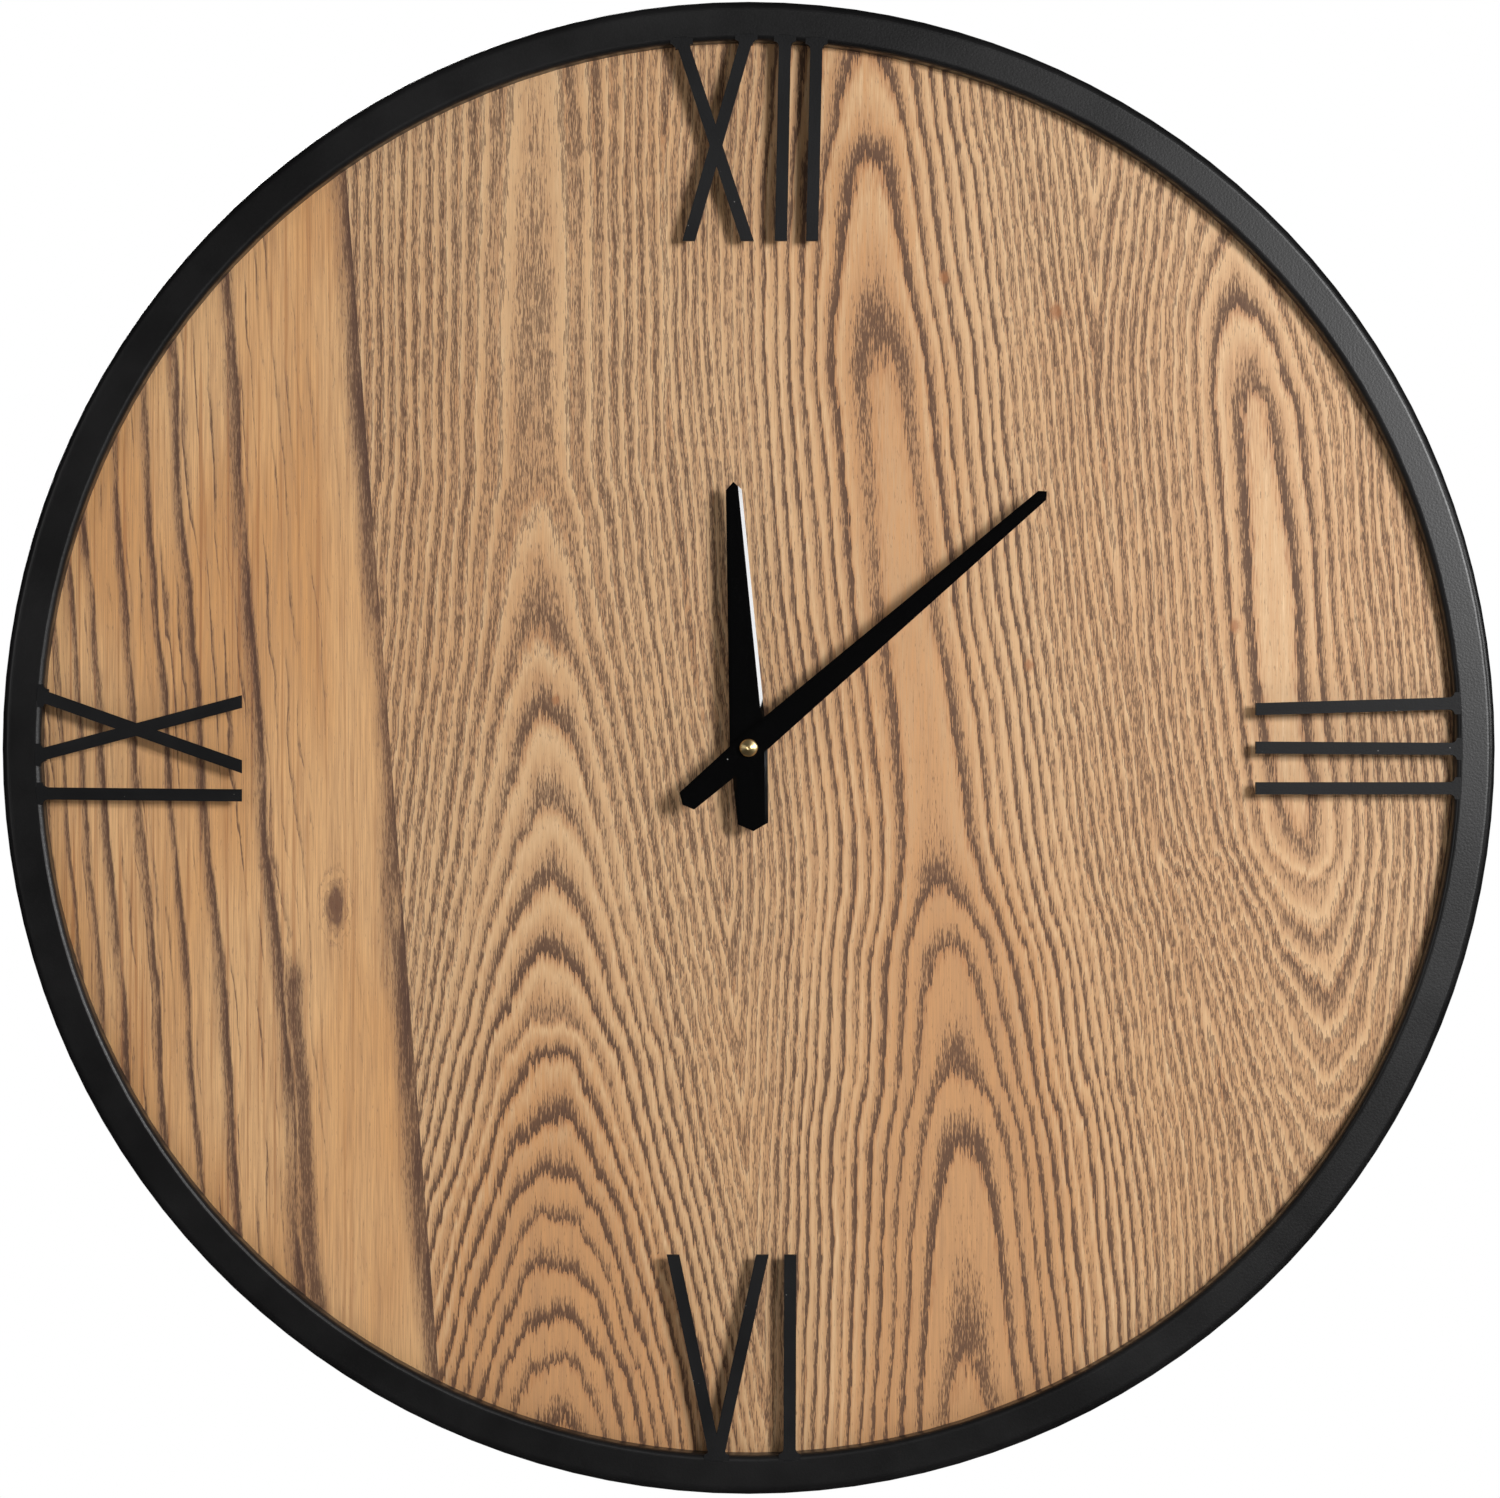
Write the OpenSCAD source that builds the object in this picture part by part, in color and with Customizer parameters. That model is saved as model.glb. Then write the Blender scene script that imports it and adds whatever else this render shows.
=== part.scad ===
// Round open-dial wall clock with welded bar numerals and a battery movement.
// Everything is modelled flat on the bench: z = 0 is the wall, +z faces the viewer, +y is up to XII.
// hang() then stands it up, so that the dial looks along -Y and the centre of the whole box is the origin.

/* [Rim] */
// Outside diameter of the rim
clock_d = 610; // [500:5:760]
// Depth of the rim, from the wall to its flat face
rim_depth = 45; // [43:1:60]
// Width of the rim's flat face
rim_face_w = 16; // [12:1:30]
// Thickness of the rim's sheet steel
rim_sheet = 1.5; // [1:0.1:2]
// Radius of the rim's outer shoulder
shoulder_r = 3.5; // [2.5:0.5:5]
// Radius of the rim's rolled inner edge
edge_r = 2.5; // [2.2:0.1:4]
// Width of the flange that lies against the wall
wall_flange_w = 8; // [5:1:12]
// How far the dial lies behind the rim's face
recess = 10; // [6:0.5:12]

/* [Numerals] */
// Length of a numeral, from the rim inward
numeral_len = 82; // [50:1:100]
// Width of the numerals' bar
bar_w = 5; // [3:0.5:7]
// Thickness of the numerals' bar
bar_t = 3; // [2:0.5:5]
// Radius of the weld fillets where a bar meets the rim
weld_r = 2; // [1:0.5:3]

/* [Dial] */
// Thickness of the dial board
dial_t = 9; // [6:0.5:10]
// Thickness of one leaf of veneer
veneer_t = 0.6; // [0.4:0.1:1]
// Gap between the dial's edge and the rim's side wall
dial_gap = 1; // [0.5:0.5:3]
// Sideways place of the veneer seam at the dial's middle
seam_x = -147; // [-200:1:-60]
// Lean of the veneer seam from upright, in degrees
seam_lean = 4.4; // [0:0.2:8]
// Clearance around the threaded bush in the dial's centre hole
bush_gap = 0.5; // [0.3:0.1:2]

/* [Hands] */
// Length of the hour hand, from the arbor to its point
hour_len = 108.6; // [70:0.2:140]
// Width of the hour hand at the arbor
hour_w = 15.5; // [12:0.5:20]
// Width of the hour hand at its point's shoulders
hour_tip_w = 6.5; // [4:0.5:9]
// Length of the hour hand's tail
hour_tail = 34; // [20:1:50]
// Width of the hour hand's tail at its end
hour_tail_w = 12.5; // [8:0.5:16]
// Direction of the hour hand at rest, clockwise from XII in degrees
hour_angle = -3.3; // [-180:0.1:180]
// Length of the minute hand, from the arbor to its point
minute_len = 160; // [100:1:200]
// Width of the minute hand at the arbor
minute_w = 11.3; // [9:0.1:16]
// Width of the minute hand at its point's shoulders
minute_tip_w = 4.9; // [3:0.1:8]
// Length of the minute hand's tail
minute_tail = 35.5; // [20:0.5:60]
// Width of the minute hand's tail at its end
minute_tail_w = 9.2; // [6:0.1:14]
// Direction of the minute hand at rest, clockwise from XII in degrees
minute_angle = 49.3; // [-180:0.1:180]
// Thickness of both hands
hand_t = 1.2; // [1:0.1:2]
// Width of the bevel along a hand's long edges
hand_bevel_w = 1.4; // [0.8:0.1:2]
// Gap between the rim's face and the back of the hour hand
hand_clear = 2.2; // [1:0.1:5]
// Gap between the two hands
hand_gap = 2.4; // [1.6:0.1:4]
// Diameter of the brass hand nut
hand_nut_d = 7.2; // [6:0.1:8]

/* [Movement] */
// Width and height of the movement case
case_w = 56; // [54:1:66]
// Thickness of the case's walls
case_wall = 1.2; // [1:0.1:1.4]
// Diameter of the threaded bush that clamps the movement to the dial
bush_d = 8; // [7.6:0.1:8.4]
// Diameter of the hour wheel's pipe
pipe_d = 5.1; // [4.8:0.1:5.6]
// Diameter of the minute arbor
arbor_d = 3.5; // [3.2:0.1:3.8]
// Thickness of the rubber seal washer between movement and dial
seal_t = 0.8; // [0.5:0.1:1.2]
// Diameter of the setting knob
knob_d = 13; // [10:0.5:14]
// Diameter of the battery
cell_d = 14.2; // [13.6:0.1:14.3]
// Radial running clearance of every pivot, arbor and pipe
run_clear = 0.05; // [0.03:0.01:0.08]

/* [Hanger] */
// Width of the hanger strap
strap_w = 60; // [40:1:80]
// Thickness of the hanger strap
strap_t = 1.5; // [1:0.1:2.5]
// Diameter of the keyhole's round end
keyhole_d = 10; // [8:0.5:12]
// Width of the keyhole's slot
keyhole_slot = 4.6; // [4:0.2:5]
// Rise of the keyhole's slot above its round end
keyhole_rise = 13; // [10:1:16]
// Distance from the wall to the hanger strap
strap_z = 3; // [2:0.5:6]
// Number of clips that hold the dial
clip_count = 8; // [4:1:12]

/* [Hidden] */
$fn = 96;

// Heights above the wall
collet_rise = 0.3;
rim_r = clock_d / 2;
rim_in_r = rim_r - rim_face_w;
dial_r = rim_r - rim_sheet - dial_gap;
dial_front = rim_depth - recess;
board_front = dial_front - veneer_t;
board_back = board_front - dial_t;
dial_back = board_back - veneer_t;
case_depth = 16.5;
movement_z = dial_back - seal_t - case_depth;
hour_z = rim_depth + hand_clear;
minute_z = hour_z + hand_t + hand_gap;
nut_z = minute_z + hand_t + collet_rise;
nut_h = 3.8;
overall_depth = nut_z + nut_h;

// Each stroke of a numeral: sideways place of its inner end and of its rim end, seen from the centre
twelve_x_strokes = [[-0.5, -27.4], [-24.5, -1]];
twelve_left_stroke = [13.2, 14.8];
twelve_right_stroke = [25.9, 27.7];
three_top_stroke = [-15.8, -18.2];
three_middle_stroke = [-0.1, 0.4];
three_bottom_stroke = [16.5, 16.5];
six_v_strokes = [[30.9, 13.8], [-5.6, 12.5]];
six_i_stroke = [-17, -16.7];
nine_x_strokes = [[-7.7, 21.3], [18.9, -2.8]];
nine_i_stroke = [-19.4, -18.6];
TWELVE = 0;
THREE = -90;
SIX = 180;
NINE = 90;

// Fasteners
screw_r = 1.5;
screw_head_r = 3.2;
screw_head_h = 2;
screw_grip = 7;
clip_t = 1.2;
clip_span = 7;
clip_leg = 11;
clip_reach = 15;
clip_screw_r = dial_r - 9;
hex_across = bush_d + 2;
hex_h = 2;
washer_r = bush_d / 2 + 2.4;
washer_t = 0.5;
seal_r = bush_d / 2 + 10;
bush_show = 1;
bush_flange_w = 1.5;
bush_flange_t = 0.6;
strap_foot = 14;
strap_top = dial_r - 15;
strap_foot_y = strap_top - 46;
keyhole_y = strap_top - 22;
hanger_screw_x = strap_w / 2 - 12;

// Bores and arbors
bush_r = bush_d / 2;
dial_hole_r = bush_r + bush_gap;
pipe_r = pipe_d / 2;
arbor_r = arbor_d / 2;
arbor_head_r = arbor_r + 1.2;
pivot_r = 0.4;
shaft_r = 0.7;
knob_shaft_r = 1.5;
knob_shaft_gap = 0.3;
knob_gap = 0.4;
knob_t = 3.2;
knob_grips = 24;
knob_grip_r = 0.6;
shaft_gap = 0.5;
thread_r = 1.25;
flat_w = arbor_d * 0.75;
collet_r = pipe_r + 1.65;
hub_drop = 1;
collet_drop = 1.6;
edge_left = 0.2;
nut_r = hand_nut_d / 2;

// Levels inside the movement, counted from the back of its case
cover_z = 15;
plate_z = 7.6;
plate_t = 1;
pivot_floor = 0.6;
boss_z = 1.8;
cover_pivot_z = cover_z + 0.9;
wheel_t = 0.8;
shoulder_gap = 0.1;
end_shake = 0.2;
pivot_out = 0.8;
pivot_slack = 0.1;
leaf_sink = 0.1;
third_z = 2.2;
stator_z = 4;
seconds_z = 4.2;
intermediate_z = 6;
centre_z = 9.8;
motion_z = 12.3;
hour_wheel_z = 13.9;
leaf_over = 0.3;

// Teeth
// Half of one tooth as [height from the pitch circle, half thickness], both in modules
WHEEL_TOOTH = [[-0.95, 0.7], [0, 0.72], [0.6, 0.55], [1.15, 0.15]];
rotor_leaves = 8;
intermediate_teeth = 40;
intermediate_leaves = 8;
seconds_teeth = 48;
seconds_leaves = 8;
third_teeth = 60;
third_leaves = 8;
centre_teeth = 64;
cannon_leaves = 12;
motion_teeth = 36;
motion_leaves = 10;
hour_teeth = 40;
knob_leaves = 18;
rotor_module = 0.3;
seconds_module = 0.3;
centre_module = 0.32;
motion_module = 0.5;
third_at = centre_module * (centre_teeth + third_leaves) / 2;
third_module = 2 * third_at / (third_teeth + seconds_leaves);
motion_at = motion_module * (cannon_leaves + motion_teeth) / 2;
hour_module = 2 * motion_at / (hour_teeth + motion_leaves);
intermediate_at = seconds_module * (seconds_teeth + intermediate_leaves) / 2;
rotor_at = rotor_module * (intermediate_teeth + rotor_leaves) / 2;
knob_at = motion_module * (motion_teeth + knob_leaves) / 2;

// Directions from one arbor to the next, and the places that follow
third_dir = 150;
motion_dir = 15;
intermediate_dir = 50;
rotor_dir = 20;
knob_dir = 110;
centre_place = [0, 0];
third_place = polar(third_at, third_dir);
motion_place = polar(motion_at, motion_dir);
intermediate_place = polar(intermediate_at, intermediate_dir);
rotor_place = intermediate_place + polar(rotor_at, rotor_dir);
knob_place = motion_place + polar(knob_at, knob_dir);

// Turn of each toothed piece that puts it in mesh with the one before it
third_pinion_turn = mesh_turn(centre_teeth, 0, third_leaves, third_dir);
seconds_pinion_turn = mesh_turn(third_teeth, 0, seconds_leaves, third_dir + 180);
intermediate_pinion_turn = mesh_turn(seconds_teeth, 0, intermediate_leaves, intermediate_dir);
rotor_pinion_turn = mesh_turn(intermediate_teeth, 0, rotor_leaves, rotor_dir);
cannon_turn = mesh_turn(motion_teeth, 0, cannon_leaves, motion_dir + 180);
motion_pinion_turn = mesh_turn(hour_teeth, 0, motion_leaves, motion_dir);
knob_turn = mesh_turn(motion_teeth, 0, knob_leaves, knob_dir);

// Case layout
inner_half = case_w / 2 - case_wall;
cell_gap = 0.3;
cell_len = 49;
cell_shift = -0.7;
cell_r = cell_d / 2;
cell_z = cell_r + 0.6;
works_gap = 0.2;
works_bottom = -centre_module * (centre_teeth / 2 + WHEEL_TOOTH[3][0]) - works_gap;
plate_gap = 0.1;
bay_top = works_bottom - case_wall;
cell_y = bay_top - cell_gap - cell_r;
bay_bottom = cell_y - cell_r - cell_gap;
case_low = bay_bottom - case_wall;
case_mid = case_low + case_w / 2;
inner_top = case_low + case_w - case_wall;
post_r = 1.5;
post_in = 1.9;
coil_x = 22;
coil_low = -1;
coil_high = 18.5;
core_low = -6;
core_high = 22.5;
core_w = 3;
bobbin_r = 2.3;
bobbin_tube_r = 1.75;
winding_r = 2.1;
magnet_r = 2.8;
stator_hole_r = 3.3;
stator_ring_r = 4.8;
stator_web = 5;
stator_arm_w = 3.6;
stator_low = core_low + 0.2;
stator_high = core_high - 0.2;
stator_post_r = 1.2;
peg_r = 1;
boss_r = 1.5;
magnet_over = 0.4;
contact_t = 0.4;
contact_half = 5;
positive_r = 2;
spring_wide_r = 4.5;
spring_narrow_r = 2.5;
nub_h = 1.5;
nub_r = 2.75;
board_t = 1;
can_r = 1;
can_len = 6;
chip_place = [-5, 21];
chip_sphere_r = 4;
chip_sink = 3;
bobbin_flange_t = 0.8;
clutch_t = 0.4;
clutch_r = 4.5;
board_z = 2;
board_x = [-inner_half + 4.5, 3];
board_y = [17.5, 25];
board_pegs = [[-19, 19], [0, 23]];
coil_z = stator_z + wheel_t * 1.5;

function polar(r, a) = [r * cos(a), r * sin(a)];

// Points of an arc about [cx, cy], from angle a0 to a1
function arc(cx, cy, r, a0, a1, steps = 8) =
    [for (i = [0:steps]) [cx, cy] + polar(r, a0 + (a1 - a0) * i / steps)];

// Turn of gear B that meshes with gear A at turn_a, with B standing in direction dir from A
function mesh_turn(teeth_a, turn_a, teeth_b, dir) =
    dir + 180 - 360 / teeth_b * (0.5 - (dir - turn_a) * teeth_a / 360);

// Half of one pinion leaf, in the same measures as WHEEL_TOOTH
LEAF_ROOT = -1.55;
LEAF_HALF = 0.52;
function leaf(n) = [
    [LEAF_ROOT, LEAF_HALF * (n / 2 + LEAF_ROOT) / (n / 2)],
    [0, LEAF_HALF],
    [0.3, 0.42],
    [0.6, 0.15],
];

// Outline of a toothed wheel with n teeth of module m
function gear_points(n, m, half) = [
    for (i = [0:n - 1], side = [-1, 1], k = [0:len(half) - 1])
        let (p = half[side < 0 ? k : len(half) - 1 - k], r = m * (n / 2 + p[0]))
            polar(r, 360 * i / n + side * p[1] * m / r * 180 / PI)
];

module hang() translate([0, overall_depth / 2, 0]) rotate([90, 0, 0]) children();

module at(place, z) translate([place[0], place[1], z]) children();

module disc(z0, z1, r) translate([0, 0, z0]) cylinder(h = z1 - z0, r = r);

module tube(z0, z1, inner, outer) difference() {
    disc(z0, z1, outer);
    disc(z0 - 1, z1 + 1, inner);
}

module block(x, y, z) translate([x[0], y[0], z[0]]) cube([x[1] - x[0], y[1] - y[0], z[1] - z[0]]);

module rounded_square(w, r) {
    square([w, w - 2 * r], center = true);
    square([w - 2 * r, w], center = true);
    for (x = [-1, 1], y = [-1, 1]) translate([x, y] * (w / 2 - r)) circle(r);
}

module wheel(n, m, z, t = wheel_t) translate([0, 0, z])
    linear_extrude(t) polygon(gear_points(n, m, WHEEL_TOOTH));

module pinion(n, m, z0, z1, turn) translate([0, 0, z0]) rotate(turn)
    linear_extrude(z1 - z0) polygon(gear_points(n, m, leaf(n)));

// Arbor with a thinner pivot at each end
module pivoted(z0, shoulder0, shoulder1, z1) {
    disc(z0, z1, pivot_r);
    disc(shoulder0, shoulder1, shaft_r);
}

// Rim

function rim_outside() = concat(
    arc(rim_r - shoulder_r, rim_depth - shoulder_r, shoulder_r, 0, 90),
    arc(rim_in_r + edge_r, rim_depth - edge_r, edge_r, 90, 180),
    [[rim_in_r, dial_front]]
);

function rim_inside() = concat(
    [[rim_in_r + rim_sheet, dial_front]],
    arc(rim_in_r + edge_r, rim_depth - edge_r, edge_r - rim_sheet, 180, 90),
    arc(rim_r - shoulder_r, rim_depth - shoulder_r, shoulder_r - rim_sheet, 90, 0)
);

module rim_section() polygon(concat(
    [[rim_r - wall_flange_w, 0], [rim_r, 0]],
    rim_outside(),
    rim_inside(),
    [[rim_r - rim_sheet, rim_sheet], [rim_r - wall_flange_w, rim_sheet]]
));

module rim() color("#1b1b1c") hang() rotate_extrude() rim_section();

// The rim with its channel filled, to trim the numerals against
module rim_filled() rotate_extrude() polygon(concat([[rim_r, dial_front]], rim_outside()));

// Angle clips welded to the rim's side wall, with a foot under the dial
module clip_section() {
    translate([rim_r - rim_sheet - clip_t, dial_back - clip_leg]) square([clip_t, clip_leg]);
    translate([rim_r - rim_sheet - clip_reach, dial_back - clip_t]) square([clip_reach, clip_t]);
}

module clip_turns() for (i = [0:clip_count - 1]) rotate((i + 0.5) * 360 / clip_count) children();

module dial_clips() color("#2a2a2c") hang() clip_turns() difference() {
    rotate(-clip_span / 2) rotate_extrude(angle = clip_span) clip_section();
    at([clip_screw_r, 0], 0) disc(0, dial_back, screw_r);
}

// Pan-head screw driven towards +z, with the seat of its head at z
module screw(z) translate([0, 0, z]) rotate_extrude() polygon([
    [0, -screw_head_h],
    [screw_head_r * 0.75, -screw_head_h * 0.9],
    [screw_head_r, -screw_head_h * 0.5],
    [screw_head_r, 0],
    [screw_r, 0],
    [screw_r, screw_grip],
    [0, screw_grip],
]);

module clip_screws() color("silver") hang() clip_turns()
    at([clip_screw_r, 0], 0) screw(dial_back - clip_t);

// Hanger

module strap_section() polygon([
    [strap_foot_y, dial_back - strap_t],
    [strap_foot_y + strap_foot, dial_back - strap_t],
    [strap_foot_y + strap_foot, strap_z],
    [strap_top, strap_z],
    [strap_top, strap_z + strap_t],
    [strap_foot_y + strap_foot + strap_t, strap_z + strap_t],
    [strap_foot_y + strap_foot + strap_t, dial_back],
    [strap_foot_y, dial_back],
]);

module hanger_turns() for (x = [-1, 1])
    translate([x * hanger_screw_x, strap_foot_y + strap_foot / 2, 0]) children();

module hanger_strap() color("#b9bcc0") hang() difference() {
    translate([-strap_w / 2, 0, 0]) rotate([90, 0, 90]) linear_extrude(strap_w) strap_section();
    at([0, keyhole_y], 0) disc(0, strap_z + strap_t + 1, keyhole_d / 2);
    block([-keyhole_slot / 2, keyhole_slot / 2], [keyhole_y, keyhole_y + keyhole_rise],
        [0, strap_z + strap_t + 1]);
    at([0, keyhole_y + keyhole_rise], 0) disc(0, strap_z + strap_t + 1, keyhole_slot / 2);
    hanger_turns() disc(0, dial_back + 1, screw_r);
}

module hanger_screws() color("silver") hang() hanger_turns() screw(dial_back - strap_t);

// Numerals

// One straight bar, cut square across at both ends, from the numeral's inner end into the rim
module stroke(place) {
    lean = atan((place[1] - place[0]) / numeral_len);
    half = bar_w / 2 / cos(lean);
    low = rim_in_r - numeral_len;
    reach = numeral_len + edge_r;
    end = place[0] + (place[1] - place[0]) * reach / numeral_len;
    polygon([
        [place[0] - half, low],
        [place[0] + half, low],
        [end + half, low + reach],
        [end - half, low + reach],
    ]);
    foot(place[1], half);
}

// Weld fillets on both sides of a bar where it meets the rim
module foot(x, half) {
    y = sqrt(pow(rim_in_r, 2) - pow(abs(x) + half + weld_r, 2)) - weld_r;
    difference() {
        translate([x - half - weld_r, y]) square([2 * (half + weld_r), weld_r + edge_r]);
        for (side = [-1, 1]) translate([x + side * (half + weld_r), y]) circle(weld_r, $fn = 32);
    }
}

module numeral(turn, strokes) color("#1b1b1c") hang() difference() {
    rotate(turn) translate([0, 0, rim_depth - bar_t]) linear_extrude(bar_t)
        intersection() {
            for (place = strokes) stroke(place);
            circle(rim_in_r + edge_r);
        }
    rim_filled();
}

module twelve_x() numeral(TWELVE, twelve_x_strokes);
module twelve_i_left() numeral(TWELVE, [twelve_left_stroke]);
module twelve_i_right() numeral(TWELVE, [twelve_right_stroke]);
module three_i_top() numeral(THREE, [three_top_stroke]);
module three_i_middle() numeral(THREE, [three_middle_stroke]);
module three_i_bottom() numeral(THREE, [three_bottom_stroke]);
module six_v() numeral(SIX, six_v_strokes);
module six_i() numeral(SIX, [six_i_stroke]);
module nine_x() numeral(NINE, nine_x_strokes);
module nine_i() numeral(NINE, [nine_i_stroke]);

// Dial

module screw_holes() {
    clip_turns() at([clip_screw_r, 0], 0) disc(0, dial_back - clip_t + screw_grip, screw_r);
    hanger_turns() disc(0, dial_back - strap_t + screw_grip, screw_r);
}

module dial_layer(z0, z1) difference() {
    disc(z0, z1, dial_r);
    disc(z0 - 1, z1 + 1, dial_hole_r);
    screw_holes();
}

// Everything to one side of the veneer seam: -1 for the left leaf, 1 for the right one
module seam_side(side) translate([seam_x, 0, 0]) rotate(seam_lean)
    block([min(0, side * 2 * clock_d), max(0, side * 2 * clock_d)], [-clock_d, clock_d],
        [board_front - 1, dial_front + 1]);

module leaf_of_veneer(side) hang() intersection() {
    tube(board_front, dial_front, dial_hole_r, dial_r);
    seam_side(side);
}

module dial_board() color("#b98d5d") hang() dial_layer(board_back, board_front);
module veneer_left() color("#bf9267") leaf_of_veneer(-1);
module veneer_right() color("#c9a179") leaf_of_veneer(1);
module veneer_back() color("#b08a60") hang() dial_layer(dial_back, board_back);

// Hands

// Flat blade along +y with bevelled long edges; w, tip and tail are widths
module blade(length, w, tip, tail_length, tail, z) difference() {
    point = tip / 2;
    tail_point = tail / 4;
    translate([0, 0, z]) linear_extrude(hand_t) polygon([
        [0, length],
        [-tip / 2, length - point],
        [-w / 2, 0],
        [-tail / 2, tail_point - tail_length],
        [0, -tail_length],
        [tail / 2, tail_point - tail_length],
        [w / 2, 0],
        [tip / 2, length - point],
    ]);
    for (side = [-1, 1]) {
        edge_bevel([side * w / 2, 0], [side * tip / 2, length - point], z, side);
        edge_bevel([side * w / 2, 0], [side * tail / 2, tail_point - tail_length], z, side);
    }
    disc(z - 1, z + hand_t + 1, collet_r);
}

// Cuts the bevel along one edge of a blade, running from point a towards point b
module edge_bevel(a, b, z, side) {
    run = norm(b - a);
    turn = atan2(b[1] - a[1], b[0] - a[0]);
    drop = hand_t - edge_left;
    inward = (b[1] > a[1] ? 1 : -1) * side;
    at(a, z + hand_t) rotate(turn) translate([-run, 0, 0]) rotate([90, 0, 90])
        linear_extrude(3 * run) polygon([
            [inward * hand_bevel_w, 0],
            [-inward * hand_bevel_w, -2 * drop],
            [-inward * hand_bevel_w * 2, 1],
            [inward * hand_bevel_w, 1],
        ]);
}

module hour_hand() color("#151515") hang() rotate(-hour_angle)
    blade(hour_len, hour_w, hour_tip_w, hour_tail, hour_tail_w, hour_z);

module hour_collet() color("#151515") hang()
    tube(hour_z - collet_drop, hour_z + hand_t + collet_rise, pipe_r, collet_r);

module minute_hand() color("#151515") hang() rotate(-minute_angle)
    blade(minute_len, minute_w, minute_tip_w, minute_tail, minute_tail_w, minute_z);

// The arbor's section at the minute hand, between its two flats
module flatted() intersection() {
    circle(arbor_r);
    square([flat_w, 4 * arbor_r], center = true);
}

module minute_bush() color("#151515") hang() rotate(-minute_angle) difference() {
    disc(minute_z - hub_drop, nut_z, collet_r);
    translate([0, 0, minute_z - 2 * hub_drop]) linear_extrude(nut_z) flatted();
}

module hand_nut() color("#c9a24a") hang() difference() {
    translate([0, 0, nut_z]) rotate_extrude() polygon([
        [0, 0],
        [nut_r, 0],
        [nut_r, nut_h * 0.55],
        [nut_r - 0.5, nut_h * 0.7],
        [0.9, nut_h],
        [0.6, nut_h],
        [0, nut_h - 0.35],
    ]);
    disc(nut_z - 1, nut_z + nut_h * 0.6, thread_r);
}

// Clamping of the movement to the dial

bush_top = dial_front + washer_t + hex_h + bush_show;

module seal_washer() color("#2b2b2b") hang() tube(dial_back - seal_t, dial_back, bush_r, seal_r);

module front_washer() color("#c9a24a") hang() tube(dial_front, dial_front + washer_t, bush_r, washer_r);

module hex_nut() color("#c9a24a") hang() difference() {
    translate([0, 0, dial_front + washer_t]) cylinder(h = hex_h, d = hex_across / cos(30), $fn = 6);
    disc(dial_front, dial_front + washer_t + hex_h + 1, bush_r);
}

module threaded_bush() color("#c9a24a") hang() difference() {
    union() {
        disc(movement_z + cover_z, bush_top, bush_r);
        disc(movement_z + cover_z, movement_z + cover_z + bush_flange_t, bush_r + bush_flange_w);
    }
    disc(movement_z, bush_top + 1, pipe_r + run_clear);
}

// Movement, drawn in its own levels and set down by works()

module works() hang() translate([0, 0, movement_z]) children();

module rear_bosses() for (p = [centre_place, third_place, intermediate_place, rotor_place])
    at(p, 0) disc(case_wall, boss_z, boss_r);

module case_outline() translate([0, case_mid]) rounded_square(case_w, 3);

// Posts for the middle plate, the stator and the circuit board
module posts() {
    for (x = [-1, 1], y = [works_bottom + post_in, inner_top - post_in])
        at([x * (inner_half - post_in), y], 0) disc(case_wall, plate_z, post_r);
    for (x = [rotor_place[0], coil_x], y = [stator_low, stator_high - stator_arm_w])
        at([x, y + stator_arm_w / 2], 0) disc(case_wall, stator_z, stator_post_r);
    for (p = board_pegs) at(p, 0) disc(case_wall, board_z, peg_r);
}

module movement_case() color("#202022") works() difference() {
    union() {
        difference() {
            linear_extrude(cover_z) case_outline();
            block([-inner_half, inner_half], [works_bottom, inner_top], [case_wall, cover_z + 1]);
        }
        rear_bosses();
        posts();
    }
    block([-inner_half, inner_half], [bay_bottom, bay_top], [-1, cover_z + 1]);
    for (p = [centre_place, third_place, intermediate_place, rotor_place])
        at(p, 0) disc(pivot_floor, boss_z + 1, pivot_r + run_clear);
    at(knob_place, 0) disc(-1, case_wall + 1, knob_shaft_r + run_clear);
}

module movement_cover() color("#2a2a2c") works() difference() {
    translate([0, 0, cover_z]) linear_extrude(case_depth - cover_z) case_outline();
    disc(cover_z - 1, case_depth + 1, bush_r);
    disc(cover_z - 1, cover_z + bush_flange_t, bush_r + bush_flange_w);
    for (p = [third_place, motion_place, knob_place])
        at(p, 0) disc(cover_z - 1, cover_pivot_z + pivot_slack, pivot_r + run_clear);
}

module middle_plate() color("#d8d8d2") works() difference() {
    block([-inner_half + plate_gap, inner_half - plate_gap], [works_bottom + plate_gap, inner_top - plate_gap],
        [plate_z, plate_z + plate_t]);
    for (p = [centre_place, intermediate_place, rotor_place, motion_place])
        at(p, 0) disc(plate_z - 1, plate_z + plate_t + 1, pivot_r + run_clear);
    at(third_place, 0) disc(plate_z - 1, plate_z + plate_t + 1, shaft_r + shaft_gap);
    at(knob_place, 0) disc(plate_z - 1, plate_z + plate_t + 1, knob_shaft_r + knob_shaft_gap);
}

module lying(x, y, z) translate([x, y, z]) rotate([0, 90, 0]) children();

module battery() color("#3c3f45") works() lying(cell_shift - cell_len / 2, cell_y, cell_z) {
    cylinder(h = cell_len, r = cell_r);
    translate([0, 0, cell_len - 0.01]) cylinder(h = nub_h + 0.01, r = nub_r);
}

module contact_plate(side) block(
    [side < 0 ? -inner_half : inner_half - contact_t, side < 0 ? contact_t - inner_half : inner_half],
    [cell_y - contact_half, cell_y + contact_half], [cell_z - contact_half, cell_z + contact_half]);

module contact_positive() color("silver") works() {
    contact_plate(1);
    nub_end = cell_shift + cell_len / 2 + nub_h;
    lying(nub_end, cell_y, cell_z) cylinder(h = inner_half - contact_t / 2 - nub_end, r = positive_r);
}

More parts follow.
